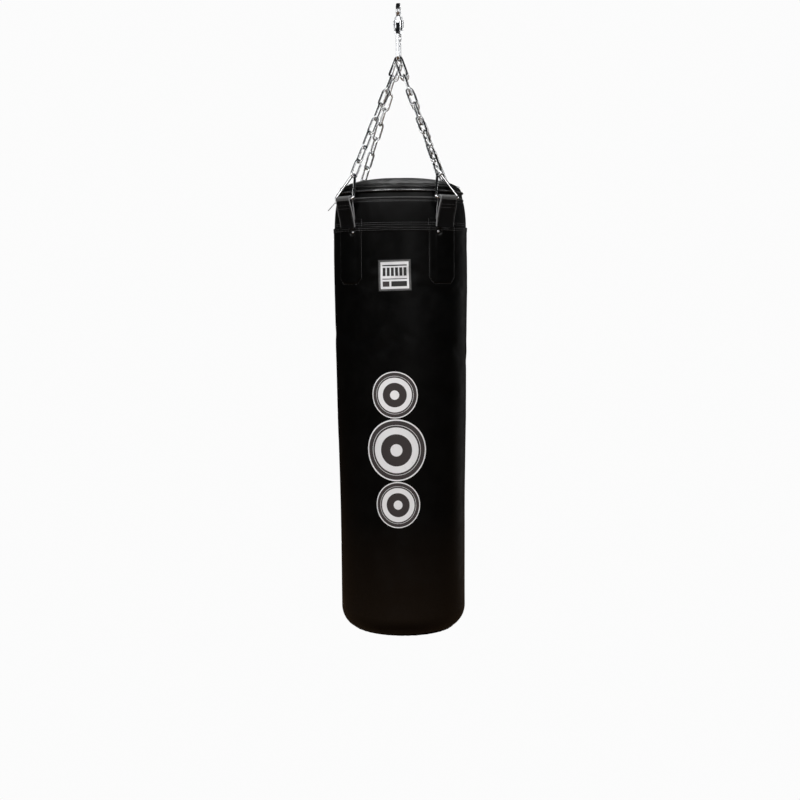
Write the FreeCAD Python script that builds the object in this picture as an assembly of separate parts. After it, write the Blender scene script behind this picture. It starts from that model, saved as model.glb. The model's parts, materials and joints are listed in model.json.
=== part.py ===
import FreeCAD, Part
import math
import os

# Heavy punching bag on four chain legs, hung from a swivel snap hook.
# Millimetres. +Z is up, -Y is the front, the origin is the centre of the hanging eye's bore.
# "h" is a height measured from the bag's rim level, "r" a distance from the vertical axis.
# A piece on the bag's side is built at the front and turned about Z to its azimuth:
# 0 is the front, +90 is the right side (+X).

V = FreeCAD.Vector

# Swivel and snap hook
EYE_BORE_R = 10.0
EYE_OUTER_R = 19.0
EYE_THICKNESS = 11.0
EYE_EDGE_ROUND = 3.0
SHANK_R = 6.0
SHANK_END_Z = -64.0
SHOULDER_R = 10.0
SHOULDER_Z = (-16.0, -25.4)
HEAD_R = 13.5
HEAD_Z = (-26.0, -44.0)
TURNING_GAP = 0.1
RACE_R = 11.8
RACE_THICKNESS = 2.0
BALL_R = 1.9
BALL_COUNT = 8
BALL_PITCH_R = 8.8
CAGE_THICKNESS = 1.0
CAGE_R = (6.2, 11.4)
NUT_ACROSS_FLATS = 19.0
NUT_HEIGHT = 8.0
HOOK_WIRE_R = 5.0
HOOK_HALF_WIDTH = 29.0
HOOK_CORNER_R = 11.0
HOOK_SHOULDER_Z = -62.0
BAR_Z = -128.0
GATE_PIN_Z = -70.5
GATE_PIN_R = 1.75
GATE_R = 4.2
GATE_NOSE_Z = -111.2
GATE_NOSE_GAP = 0.6
GATE_ROD_TOP_Z = -77.7
KNUCKLE_R = 3.8
PIN_PLAY = 0.04
FORK_SLOT_HALF = 2.6
TONGUE_X = (-2.4, 0.5)
SPRING_X = (0.75, 2.35)
SPRING_WIRE_R = 0.3
SPRING_COIL_R = 2.7
SPRING_TURNS = 2
SPRING_LEG = 4.7

# Chain legs
LEG_NAMES = ("front_left", "front_right", "rear_left", "rear_right")
LEG_AZIMUTH = {"front_left": -46.0, "front_right": 46.0, "rear_left": -134.0, "rear_right": 134.0}
LEG_BAR_Y = {"front_left": -5.9, "front_right": -13.3, "rear_left": 13.3, "rear_right": 5.9}
END_LINK_WIRE_R = 3.0
END_LINK_LENGTH = 66.0
END_LINK_WIDTH = 24.0
END_LINK_SEAT = 8.6
LINK_WIRE_R = 2.75
LINK_LENGTH = 52.6
LINK_WIDTH = 22.5
LINKS_PER_LEG = 7

# Triangle rings
RING_WIRE_R = 3.5
RING_BASE = 86.0
RING_HEIGHT = 77.0
RING_APEX_R = 8.0
RING_BASE_CORNER_R = 4.5
RING_BAR_R = 183.0
RING_BAR_H = -45.0

# Bag body
RIM_BELOW_BAR = 318.0
BOTTOM_H = -1184.0
UPPER_R = 175.5
LOWER_R = 166.5
TAPER_H = (-300.0, -900.0)
SHELL_TOP_H = -117.2
SHELL_THICKNESS = 1.8
BOTTOM_CORNER_R = 58.0
BOTTOM_THICKNESS = 3.0
SEAM_GAP = 0.3
SKIN_GAP = 0.05

# Lid, zip and collar
LID_THICKNESS = 3.0
LID_CROWN_H = 8.0
LID_DOME_R = 126.0
LID_SHOULDER = (151.0, -10.5)
LID_SIDE = (162.5, -30.0)
LID_EDGE = (164.5, -43.3)
PIPING_R = 164.6
PIPING_H = -27.0
PIPING_WIRE_R = 2.4
ZIP_R = (163.0, 166.4)
ZIP_H = (-43.6, -48.6)
COLLAR_THICKNESS = 2.4
COLLAR_PROFILE = ((165.5, -48.9), (169.2, -80.0), (169.9, -116.8))
SLIDER_WIDTH = 8.0
SLIDER_R = (166.7, 170.2)
SLIDER_H = (-40.5, -51.5)
SLIDER_AZIMUTH = -90.0
BRIDGE_R = 173.4
BRIDGE_WIDTH = 2.4
BRIDGE_MARGIN = 2.0
BRIDGE_WINDOW_R = 1.3
PULL_PIN_R = 171.6
PULL_PIN_H = -46.0
PULL_LENGTH = 30.0
PULL_WIDTH = 8.0
PULL_THICKNESS = 1.2
PULL_RAISE = 43.0
PULL_PIN_RADIUS = 0.8
PULL_ARM_X = (1.4, 2.6)
PULL_ARM_LENGTH = 6.0

# Straps and rivets
STRAP_THICKNESS = 3.2
STRAP_WIDTH = 60.0
STRAP_TAIL_R = 170.2
STRAP_TAIL_H = -262.0
STRAP_BEND_H = -116.0
STRAP_TUNNEL_R = 5.4
STRAP_TUNNEL_SHIFT = 1.4
STRAP_RETURN_R = 175.1
STRAP_RETURN_H = -82.0
RIVET_H = -130.0
RIVET_HEAD_R = 4.0
RIVET_HEAD_HEIGHT = 1.8
RIVET_SHANK_R = 1.5
RIVET_HOLE_R = 1.7
RIVET_AZIMUTHS = (-38.5, 38.5, -141.5, 141.5)

# Inside and label
LINER_TOP_H = -122.0
LINER_BOTTOM_H = -1144.0
LINER_OUTSET = 6.0
LINER_THICKNESS = 8.0
FILLING_TOP_H = -62.0
FILLING_NECK_H = -118.0
FILLING_FLOOR_H = -1152.0
FILLING_NECK_R = 158.0
FILLING_GAP = 0.5
BASE_PAD_THICKNESS = 28.0
LID_PAD_THICKNESS = 24.0
LID_PAD_R = 140.0
LABEL_WIDTH = 83.0
LABEL_H = (-201.0, -279.0)
LABEL_THICKNESS = 1.2

# Worked out from the dimensions above
RIM_Z = BAR_Z - RIM_BELOW_BAR
LINK_SPAN = LINK_LENGTH - 2 * LINK_WIRE_R
END_LINK_SPAN = END_LINK_LENGTH - 2 * END_LINK_WIRE_R
RING_SPAN = RING_HEIGHT - 2 * RING_WIRE_R
STRAP_HALF_ANGLE = math.degrees(STRAP_WIDTH / 2 / UPPER_R)
LABEL_HALF_ANGLE = math.degrees(LABEL_WIDTH / 2 / UPPER_R)


# Helpers

def at(r, h):
    """Point in the front half-plane at radius r and height h from the rim."""
    return V(0, -r, RIM_Z + h)


def turned(shape, azimuth):
    """The shape turned about the vertical axis from the front to its azimuth."""
    result = shape.copy()
    result.rotate(V(0, 0, 0), V(0, 0, 1), azimuth)
    return result


def polyline(points):
    return [Part.LineSegment(a, b).toShape() for a, b in zip(points, points[1:])]


def spun(edges, half_angle=180.0):
    """Solid of a closed profile turned about Z, centred on the profile's own plane."""
    face = Part.Face(Part.Wire(Part.__sortEdges__(edges)))
    face.rotate(V(0, 0, 0), V(0, 0, 1), -half_angle)
    solid = face.revolve(V(0, 0, 0), V(0, 0, 1), 2 * half_angle)
    return Part.Solid(solid) if solid.ShapeType == "Shell" else solid


def spun_polygon(points, half_angle=180.0):
    """Solid of revolution of a polygon given as (r, h) corners."""
    corners = [at(r, h) for r, h in points]
    return spun(polyline(corners + corners[:1]), half_angle)


def cylinder(radius, z_low, z_high):
    return Part.makeCylinder(radius, z_high - z_low, V(0, 0, z_low))


def ring(outer_r, inner_r, z_low, z_high):
    return cylinder(outer_r, z_low, z_high).cut(cylinder(inner_r, z_low - 1, z_high + 1))


def x_cylinder(radius, x_low, x_high, y, z):
    return Part.makeCylinder(radius, x_high - x_low, V(x_low, y, z), V(1, 0, 0))


def rounded_path(points, radii, closed):
    """Edges of straight runs through the points, with an arc of its own radius at each bend."""
    count = len(points)
    inner = range(count) if closed else range(1, count - 1)
    bends = {}
    for i in inner:
        corner = points[i]
        back = (points[i - 1] - corner).normalize()
        ahead = (points[(i + 1) % count] - corner).normalize()
        half = back.getAngle(ahead) / 2
        reach = radii[i] / math.tan(half)
        middle = (back + ahead).normalize() * (radii[i] / math.sin(half) - radii[i])
        bends[i] = (corner + back * reach, corner + middle, corner + ahead * reach)
    edges = []
    for i in range(count if closed else count - 1):
        j = (i + 1) % count
        start = bends[i][2] if i in bends else points[i]
        end = bends[j][0] if j in bends else points[j]
        edges.append(Part.LineSegment(start, end).toShape())
        if j in bends:
            edges.append(Part.Arc(*bends[j]).toShape())
    return edges


def bent_wire(edges, wire_r):
    """Round bar of radius wire_r bent along the edges."""
    first = edges[0]
    section = Part.makeCircle(wire_r, first.valueAt(first.FirstParameter),
                              first.tangentAt(first.FirstParameter))
    return Part.Wire(edges).makePipeShell([Part.Wire([section])], True, True)


def oval_link(length, width, wire_r, top, down, normal):
    """Chain link whose upper crown has its centreline at top, lying along down."""
    half = width / 2 - wire_r
    side = normal.cross(down) * half
    span = length - 2 * wire_r
    path_top = top + down * half
    path_low = top + down * (span - half)
    edges = [Part.LineSegment(path_top + side, path_low + side).toShape(),
             Part.Arc(path_low + side, top + down * span, path_low - side).toShape(),
             Part.LineSegment(path_low - side, path_top - side).toShape(),
             Part.Arc(path_top - side, top, path_top + side).toShape()]
    return bent_wire(edges, wire_r)


def body_radius(h):
    """Outer radius of the leather tube: full at the top, slimmer towards the bottom."""
    t = (TAPER_H[0] - h) / (TAPER_H[0] - TAPER_H[1])
    t = min(max(t, 0.0), 1.0)
    return UPPER_R - (UPPER_R - LOWER_R) * t * t * (3 - 2 * t)


def side_curve(inset, h_top, h_low):
    """Curve down the bag's side, a fixed distance inside the outer surface."""
    steps = 8
    heights = [h_top + (h_low - h_top) * i / steps for i in range(steps + 1)]
    curve = Part.BSplineCurve()
    curve.interpolate([at(body_radius(h) - inset, h) for h in heights])
    return curve.toShape()


# Swivel

def swivel_eye():
    half = EYE_THICKNESS / 2
    eye = x_cylinder(EYE_OUTER_R, -half, half, 0, 0)
    eye = eye.makeFillet(EYE_EDGE_ROUND, [e for e in eye.Edges if e.Curve.TypeId == "Part::GeomCircle"])
    shoulder = cylinder(SHOULDER_R, SHOULDER_Z[1], SHOULDER_Z[0])
    shank = cylinder(SHANK_R, SHANK_END_Z, SHOULDER_Z[0])
    solid = eye.fuse([shoulder, shank]).removeSplitter()
    return solid.cut(x_cylinder(EYE_BORE_R, -EYE_OUTER_R, EYE_OUTER_R, 0, 0))


def upper_race():
    top = HEAD_Z[1] - TURNING_GAP
    return ring(RACE_R, SHANK_R + 3 * TURNING_GAP, top - RACE_THICKNESS, top)


def ball_centre_z():
    return HEAD_Z[1] - RACE_THICKNESS - 2 * TURNING_GAP - BALL_R


def bearing_balls():
    """Eight balls and the flat cage that spaces them."""
    z = ball_centre_z()
    cage = ring(CAGE_R[1], CAGE_R[0], z - CAGE_THICKNESS / 2, z + CAGE_THICKNESS / 2)
    balls = []
    for i in range(BALL_COUNT):
        centre = turned(Part.Vertex(0, -BALL_PITCH_R, z), 360.0 * i / BALL_COUNT).Point
        balls.append(Part.makeSphere(BALL_R, centre))
        pocket = Part.makeCylinder(BALL_R + TURNING_GAP, 4 * BALL_R, centre - V(0, 0, 2 * BALL_R))
        cage = cage.cut(pocket)
    return Part.makeCompound(balls + cage.Solids)


def lower_race():
    top = ball_centre_z() - BALL_R - TURNING_GAP
    return ring(RACE_R, SHANK_R + TURNING_GAP, top - RACE_THICKNESS, top)


def swivel_nut():
    top = ball_centre_z() - BALL_R - RACE_THICKNESS - 2 * TURNING_GAP
    corner_r = NUT_ACROSS_FLATS / math.sqrt(3)
    corners = [V(corner_r * math.cos(math.radians(60 * i)), corner_r * math.sin(math.radians(60 * i)),
                 top - NUT_HEIGHT) for i in range(7)]
    prism = Part.Face(Part.Wire(polyline(corners))).extrude(V(0, 0, NUT_HEIGHT))
    return prism.cut(cylinder(SHANK_R + TURNING_GAP / 2, top - 2 * NUT_HEIGHT, top + 1))


# Snap hook

def hook_body():
    """Round-bar frame with a straight lower bar, a head for the swivel and a fork for the gate."""
    w = HOOK_HALF_WIDTH
    head_mid = (HEAD_Z[0] + HEAD_Z[1]) / 2
    closed_side = [V(0, -SHOULDER_R, head_mid), V(0, -w, HOOK_SHOULDER_Z), V(0, -w, BAR_Z),
                   V(0, w, BAR_Z), V(0, w, GATE_NOSE_Z)]
    gate_side = [V(0, SHOULDER_R, head_mid), V(0, w, HOOK_SHOULDER_Z), V(0, w, GATE_PIN_Z - GATE_R)]
    bends = [HOOK_CORNER_R] * len(closed_side)
    frame = bent_wire(rounded_path(closed_side, bends, False), HOOK_WIRE_R)
    arm = bent_wire(rounded_path(gate_side, bends, False), HOOK_WIRE_R)
    head = cylinder(HEAD_R, HEAD_Z[1], HEAD_Z[0])
    solid = head.fuse([frame, arm])
    solid = solid.cut(cylinder(SHANK_R + 3 * TURNING_GAP, HEAD_Z[1] - 1, HEAD_Z[0] + 1))
    solid = solid.cut(cylinder(RACE_R + 5 * TURNING_GAP, SHANK_END_Z, HEAD_Z[1]))
    slot = Part.makeBox(2 * FORK_SLOT_HALF, 4 * HOOK_WIRE_R, 3 * HOOK_WIRE_R,
                        V(-FORK_SLOT_HALF, w - 2 * HOOK_WIRE_R, GATE_PIN_Z - 2 * HOOK_WIRE_R))
    solid = solid.cut(slot)
    return solid.cut(x_cylinder(GATE_PIN_R + PIN_PLAY / 2, -HEAD_R, HEAD_R, w, GATE_PIN_Z))


def gate_pin():
    half = HOOK_WIRE_R - SPRING_WIRE_R
    return x_cylinder(GATE_PIN_R, -half, half, HOOK_HALF_WIDTH, GATE_PIN_Z)


def hook_gate():
    """Round rod with a flat tongue that turns on the gate pin."""
    y = HOOK_HALF_WIDTH
    nose_z = GATE_NOSE_Z + GATE_NOSE_GAP
    rod = Part.makeCylinder(GATE_R, GATE_ROD_TOP_Z - nose_z, V(0, y, nose_z))
    tongue_low = GATE_ROD_TOP_Z - KNUCKLE_R
    tongue = Part.makeBox(TONGUE_X[1] - TONGUE_X[0], 2 * KNUCKLE_R, GATE_PIN_Z - tongue_low,
                          V(TONGUE_X[0], y - KNUCKLE_R, tongue_low))
    knuckle = x_cylinder(KNUCKLE_R, TONGUE_X[0], TONGUE_X[1], y, GATE_PIN_Z)
    solid = rod.fuse([tongue, knuckle]).removeSplitter()
    return solid.cut(x_cylinder(GATE_PIN_R + PIN_PLAY, -HEAD_R, HEAD_R, y, GATE_PIN_Z))


def gate_spring():
    """Torsion spring beside the tongue: a coil round the pin and a leg along the gate."""
    pitch = (SPRING_X[1] - SPRING_X[0] - 2 * SPRING_WIRE_R) / SPRING_TURNS
    helix = Part.makeHelix(pitch, pitch * SPRING_TURNS, SPRING_COIL_R)
    section = Part.makeCircle(SPRING_WIRE_R, V(SPRING_COIL_R, 0, 0), V(0, 1, 0))
    coil = Part.Wire(helix.Edges).makePipeShell([Part.Wire([section])], True, True)
    leg = Part.makeCylinder(SPRING_WIRE_R, SPRING_LEG, V(SPRING_COIL_R, 0, 0), V(0, -1, 0))
    spring = coil.fuse(leg)
    spring.rotate(V(0, 0, 0), V(0, 1, 0), 90)
    spring.rotate(V(0, 0, 0), V(1, 0, 0), 90)
    spring.translate(V(SPRING_X[0] + SPRING_WIRE_R, HOOK_HALF_WIDTH, GATE_PIN_Z))
    return spring


# Chain legs and rings

def ring_axes(azimuth):
    """Middle of a ring's base bar, the bar's direction, and the way up to the ring's apex."""
    bar = turned(Part.Vertex(at(RING_BAR_R, RING_BAR_H)), azimuth).Point
    along = V(math.cos(math.radians(azimuth)), math.sin(math.radians(azimuth)), 0)
    return bar, along, (V(0, 0, BAR_Z) - bar).normalize()


def triangle_ring(name):
    bar, along, up = ring_axes(LEG_AZIMUTH[name])
    half = RING_BASE / 2 - RING_WIRE_R
    crown = RING_SPAN - RING_APEX_R
    slope = math.atan2(crown, half) + math.asin(RING_APEX_R / math.hypot(half, crown))
    points = [bar - along * half, bar + along * half, bar + up * half * math.tan(slope)]
    radii = [RING_BASE_CORNER_R, RING_BASE_CORNER_R, RING_APEX_R]
    return bent_wire(rounded_path(points, radii, True), RING_WIRE_R)


def leg_line(name):
    """A leg's upper end on the hook's bar, its direction down, its length to the ring's apex."""
    bar, _, up = ring_axes(LEG_AZIMUTH[name])
    start = V(0, LEG_BAR_Y[name], BAR_Z)
    run = bar + up * RING_SPAN - start
    return start, run * (1 / run.Length), run.Length


def square_to(direction, vector):
    """The part of vector at right angles to direction, at unit length."""
    return (vector - direction * vector.dot(direction)).normalize()


def end_link(name):
    start, down, _ = leg_line(name)
    return oval_link(END_LINK_LENGTH, END_LINK_WIDTH, END_LINK_WIRE_R,
                     start - down * END_LINK_SEAT, down, square_to(down, V(0, 1, 0)))


def chain_links(name):
    """The regular links of one leg, each turned 90 degrees and a share of the leg's twist."""
    start, down, length = leg_line(name)
    end_low = END_LINK_SPAN - END_LINK_SEAT
    first_reach = END_LINK_WIRE_R + LINK_WIRE_R
    last_reach = LINK_WIRE_R + RING_WIRE_R
    overlaps = first_reach + last_reach + 2 * LINK_WIRE_R * (LINKS_PER_LEG - 1)
    play = (end_low + LINKS_PER_LEG * LINK_SPAN - overlaps - length) / (LINKS_PER_LEG + 1)
    normal = square_to(down, V(0, 1, 0))
    last_normal = square_to(down, ring_axes(LEG_AZIMUTH[name])[1])
    natural = down.cross(normal) * (-1) ** ((LINKS_PER_LEG - 1) // 2)
    twist = math.degrees(math.atan2(last_normal.dot(down.cross(natural)), last_normal.dot(natural)))
    twist = (twist + 90) % 180 - 90
    links = []
    for k in range(1, LINKS_PER_LEG + 1):
        reach = end_low - first_reach - play + (k - 1) * (LINK_SPAN - 2 * LINK_WIRE_R - play)
        turn = FreeCAD.Rotation(down, 90 * k + twist * k / LINKS_PER_LEG)
        links.append(oval_link(LINK_LENGTH, LINK_WIDTH, LINK_WIRE_R,
                               start + down * reach, down, turn.multVec(normal)))
    return links


# Bag body

def corner_point(r_low, radius, angle):
    """Point on the bottom corner's round, angle degrees down from the horizontal."""
    centre_r = r_low - BOTTOM_CORNER_R
    centre_h = BOTTOM_H + BOTTOM_CORNER_R
    a = math.radians(angle)
    return at(centre_r + radius * math.cos(a), centre_h - radius * math.sin(a))


def outer_shell():
    """Leather tube from the collar seam to halfway round the bottom corner."""
    corner_h = BOTTOM_H + BOTTOM_CORNER_R
    inner_corner = BOTTOM_CORNER_R - SHELL_THICKNESS
    outer = [corner_point(LOWER_R, BOTTOM_CORNER_R, a) for a in (0, 22.5, 45)]
    inner = [corner_point(LOWER_R, inner_corner, a) for a in (0, 22.5, 45)]
    edges = [side_curve(0, SHELL_TOP_H, corner_h), Part.Arc(*outer).toShape(),
             Part.LineSegment(outer[2], inner[2]).toShape(), Part.Arc(*inner).toShape(),
             side_curve(SHELL_THICKNESS, SHELL_TOP_H, corner_h)]
    top = [at(UPPER_R, SHELL_TOP_H), at(UPPER_R - SHELL_THICKNESS, SHELL_TOP_H)]
    shell = spun(edges + polyline(top))
    for azimuth in RIVET_AZIMUTHS:
        shell = shell.cut(rivet_bore(azimuth, RIVET_HOLE_R))
    return shell


def bottom_panel():
    """Round panel under the bag, turned up to meet the shell."""
    gap = math.degrees(SEAM_GAP / BOTTOM_CORNER_R)
    angles = (45 + gap, 70, 90)
    outer = [corner_point(LOWER_R, BOTTOM_CORNER_R, a) for a in angles]
    inner = [corner_point(LOWER_R, BOTTOM_CORNER_R - BOTTOM_THICKNESS, a) for a in angles]
    low = at(0, BOTTOM_H)
    high = at(0, BOTTOM_H + BOTTOM_THICKNESS)
    return spun([Part.Arc(*outer).toShape(), Part.Arc(*inner).toShape(),
                 Part.LineSegment(outer[0], inner[0]).toShape()]
                + polyline([outer[2], low, high, inner[2]]))


def collar_band():
    """Band between the zip and the shell's top edge; the straps lie over it."""
    outer = [at(r, h) for r, h in COLLAR_PROFILE]
    inner = [at(r - COLLAR_THICKNESS, h) for r, h in COLLAR_PROFILE]
    curves = [Part.Arc(*outer).toShape(), Part.Arc(*inner).toShape()]
    return spun(curves + polyline([outer[0], inner[0]]) + polyline([outer[2], inner[2]]))


def lid_cover():
    """Domed lid with a round shoulder and a groove for the piping."""
    def surface(drop):
        crown = at(0, LID_CROWN_H - drop)
        dome_mid = at(LID_DOME_R / 2, LID_CROWN_H * 0.75 - drop)
        dome_edge = at(LID_DOME_R - drop / 2, -drop)
        shoulder = at(LID_SHOULDER[0] - drop, LID_SHOULDER[1] - drop)
        side = at(LID_SIDE[0] - drop, LID_SIDE[1])
        edge = at(LID_EDGE[0] - drop, LID_EDGE[1])
        return [Part.Arc(crown, dome_mid, dome_edge).toShape(),
                Part.Arc(dome_edge, shoulder, side).toShape(),
                Part.LineSegment(side, edge).toShape()]
    ends = [Part.LineSegment(at(0, LID_CROWN_H), at(0, LID_CROWN_H - LID_THICKNESS)).toShape(),
            Part.LineSegment(at(*LID_EDGE), at(LID_EDGE[0] - LID_THICKNESS, LID_EDGE[1])).toShape()]
    lid = spun(surface(0) + surface(LID_THICKNESS) + ends)
    return lid.cut(piping_ring(PIPING_WIRE_R + SEAM_GAP))


def piping_ring(wire_r):
    return Part.makeTorus(PIPING_R, wire_r, V(0, 0, RIM_Z + PIPING_H))


def zip_teeth():
    inner, outer = ZIP_R
    top, low = ZIP_H
    return spun_polygon([(inner, top), (outer, top), (outer, low), (inner, low)])


def zip_slider():
    """Slider body with a bridge that carries the pull's pin."""
    half = SLIDER_WIDTH / 2
    low = RIM_Z + SLIDER_H[1]
    height = SLIDER_H[0] - SLIDER_H[1]
    body = Part.makeBox(SLIDER_WIDTH, SLIDER_R[1] - SLIDER_R[0], height, V(-half, -SLIDER_R[1], low))
    bridge = Part.makeBox(BRIDGE_WIDTH, BRIDGE_R - SLIDER_R[0], height - 2 * BRIDGE_MARGIN,
                          V(-BRIDGE_WIDTH / 2, -BRIDGE_R, low + BRIDGE_MARGIN))
    window = x_cylinder(BRIDGE_WINDOW_R, -half, half, -PULL_PIN_R, RIM_Z + PULL_PIN_H)
    return turned(body.fuse(bridge).cut(window), SLIDER_AZIMUTH)


def zip_pull():
    """Thin tab on a pin through the slider's bridge, standing out from the side."""
    inner, outer = PULL_ARM_X
    thick = 2 * PULL_PIN_RADIUS
    pin = x_cylinder(PULL_PIN_RADIUS, -outer, outer, 0, 0)
    arms = [Part.makeBox(outer - inner, thick, PULL_ARM_LENGTH, V(x, -thick / 2, -PULL_ARM_LENGTH))
            for x in (-outer, inner)]
    tab_length = PULL_LENGTH - PULL_ARM_LENGTH + 1
    tab = Part.makeBox(PULL_WIDTH, PULL_THICKNESS, tab_length,
                       V(-PULL_WIDTH / 2, -PULL_THICKNESS / 2, -PULL_LENGTH))
    pull = tab.fuse([pin] + arms).removeSplitter()
    pull.rotate(V(0, 0, 0), V(1, 0, 0), -PULL_RAISE)
    pull.translate(at(PULL_PIN_R, PULL_PIN_H))
    return turned(pull, SLIDER_AZIMUTH)


def tangent_point(r, h, radius, side):
    """Where a line from (r, h) touches a circle round the strap's tunnel; side is +1 outside."""
    centre_r = RING_BAR_R + STRAP_TUNNEL_SHIFT
    dr = r - centre_r
    dh = h - RING_BAR_H
    angle = math.atan2(dh, dr) + side * math.acos(radius / math.hypot(dr, dh))
    return at(centre_r + radius * math.cos(angle), RING_BAR_H + radius * math.sin(angle))


def tunnel_top(radius):
    return at(RING_BAR_R + STRAP_TUNNEL_SHIFT, RING_BAR_H + radius)


def hanging_strap(azimuth):
    """Strap from inside the shell, up over the ring's bar and back down behind itself."""
    skin = STRAP_TUNNEL_R + STRAP_THICKNESS
    tail_out = STRAP_TAIL_R + STRAP_THICKNESS
    return_out = STRAP_RETURN_R + STRAP_THICKNESS
    outside = [tangent_point(tail_out, STRAP_BEND_H, skin, 1),
               tangent_point(STRAP_RETURN_R, STRAP_RETURN_H, skin, -1)]
    inside = [tangent_point(STRAP_TAIL_R, STRAP_BEND_H, STRAP_TUNNEL_R, 1),
              tangent_point(return_out, STRAP_RETURN_H, STRAP_TUNNEL_R, -1)]
    edges = polyline([inside[0], at(STRAP_TAIL_R, STRAP_BEND_H), at(STRAP_TAIL_R, STRAP_TAIL_H),
                      at(tail_out, STRAP_TAIL_H), at(tail_out, STRAP_BEND_H), outside[0]])
    edges += polyline([outside[1], at(STRAP_RETURN_R, STRAP_RETURN_H),
                       at(return_out, STRAP_RETURN_H), inside[1]])
    edges.append(Part.Arc(outside[0], tunnel_top(skin), outside[1]).toShape())
    edges.append(Part.Arc(inside[0], tunnel_top(STRAP_TUNNEL_R), inside[1]).toShape())
    strap = turned(spun(edges, STRAP_HALF_ANGLE), azimuth)
    for rivet_azimuth in RIVET_AZIMUTHS:
        strap = strap.cut(rivet_bore(rivet_azimuth, RIVET_HOLE_R))
    return strap


def rivet_bore(azimuth, radius):
    length = UPPER_R - STRAP_TAIL_R + 2
    bore = Part.makeCylinder(radius, length, at(STRAP_TAIL_R - 1, RIVET_H), V(0, -1, 0))
    return turned(bore, azimuth)


def strap_rivets():
    """Four rivets, each a round head on the leather and a shank through the strap's tail."""
    dome_r = (RIVET_HEAD_R ** 2 + RIVET_HEAD_HEIGHT ** 2) / (2 * RIVET_HEAD_HEIGHT)
    seat_r = UPPER_R + SKIN_GAP
    ball = Part.makeSphere(dome_r, at(seat_r + RIVET_HEAD_HEIGHT - dome_r, RIVET_H))
    keep = Part.makeCylinder(RIVET_HEAD_R, 2 * RIVET_HEAD_HEIGHT, at(seat_r, RIVET_H), V(0, -1, 0))
    shank = Part.makeCylinder(RIVET_SHANK_R, seat_r - STRAP_TAIL_R + RIVET_HEAD_HEIGHT / 3,
                              at(STRAP_TAIL_R, RIVET_H), V(0, -1, 0))
    rivet = ball.common(keep).fuse(shank).removeSplitter()
    return Part.makeCompound([turned(rivet, a) for a in RIVET_AZIMUTHS])


# Inside and label

def foam_liner():
    """Padding tube between the leather and the filling."""
    inset = LINER_OUTSET + LINER_THICKNESS
    ends = []
    for h in (LINER_TOP_H, LINER_BOTTOM_H):
        ends += polyline([at(body_radius(h) - LINER_OUTSET, h), at(body_radius(h) - inset, h)])
    return spun([side_curve(LINER_OUTSET, LINER_TOP_H, LINER_BOTTOM_H),
                 side_curve(inset, LINER_TOP_H, LINER_BOTTOM_H)] + ends)


def textile_filling():
    """Packed textile filling: narrow at the neck, then the full width inside the liner."""
    inset = LINER_OUTSET + LINER_THICKNESS + FILLING_GAP
    floor_h = FILLING_FLOOR_H
    shoulder_r = body_radius(FILLING_NECK_H) - inset
    rim = polyline([at(0, floor_h), at(0, FILLING_TOP_H), at(FILLING_NECK_R, FILLING_TOP_H),
                    at(FILLING_NECK_R, FILLING_NECK_H), at(shoulder_r, FILLING_NECK_H)])
    floor = polyline([at(0, floor_h), at(body_radius(floor_h) - inset, floor_h)])
    return spun(rim + [side_curve(inset, FILLING_NECK_H, floor_h)] + floor)


def base_pad():
    """Foam disc on the bottom panel that takes the filling's weight."""
    low = RIM_Z + BOTTOM_H + BOTTOM_THICKNESS + SEAM_GAP
    return cylinder(LOWER_R - BOTTOM_CORNER_R, low, low + BASE_PAD_THICKNESS)


def lid_pad():
    """Foam disc between the filling and the lid."""
    low = RIM_Z + FILLING_TOP_H + SEAM_GAP
    return cylinder(LID_PAD_R, low, low + LID_PAD_THICKNESS)


def label_patch():
    """Plain sewn patch at the front."""
    inner = UPPER_R + SKIN_GAP
    outer = inner + LABEL_THICKNESS
    top, low = LABEL_H
    return spun_polygon([(inner, top), (outer, top), (outer, low), (inner, low)], LABEL_HALF_ANGLE)


def all_parts():
    parts = {
        "swivel_eye": swivel_eye(),
        "swivel_nut": swivel_nut(),
        "lower_race": lower_race(),
        "upper_race": upper_race(),
        "bearing_balls": bearing_balls(),
        "hook_body": hook_body(),
        "gate_pin": gate_pin(),
        "hook_gate": hook_gate(),
        "gate_spring": gate_spring(),
        "end_links": Part.makeCompound([end_link(name) for name in LEG_NAMES]),
        "outer_shell": outer_shell(),
        "bottom_panel": bottom_panel(),
        "collar_band": collar_band(),
        "lid_cover": lid_cover(),
        "lid_piping": piping_ring(PIPING_WIRE_R),
        "zip_teeth": zip_teeth(),
        "zip_slider": zip_slider(),
        "zip_pull": zip_pull(),
        "strap_rivets": strap_rivets(),
        "foam_liner": foam_liner(),
        "textile_filling": textile_filling(),
        "base_pad": base_pad(),
        "lid_pad": lid_pad(),
        "label_patch": label_patch(),
    }
    for name in LEG_NAMES:
        parts["triangle_ring_" + name] = triangle_ring(name)
        parts["hanging_strap_" + name] = hanging_strap(LEG_AZIMUTH[name])
        for number, link in enumerate(chain_links(name), 1):
            parts["chain_%s_link_%d" % (name, number)] = link
    return parts


os.makedirs("parts", exist_ok=True)
for node, shape in all_parts().items():
    shape.exportStep("parts/%s.step" % node)
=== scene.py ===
import json
import math

import bpy
import numpy as np
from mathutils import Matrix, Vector, kdtree


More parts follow.
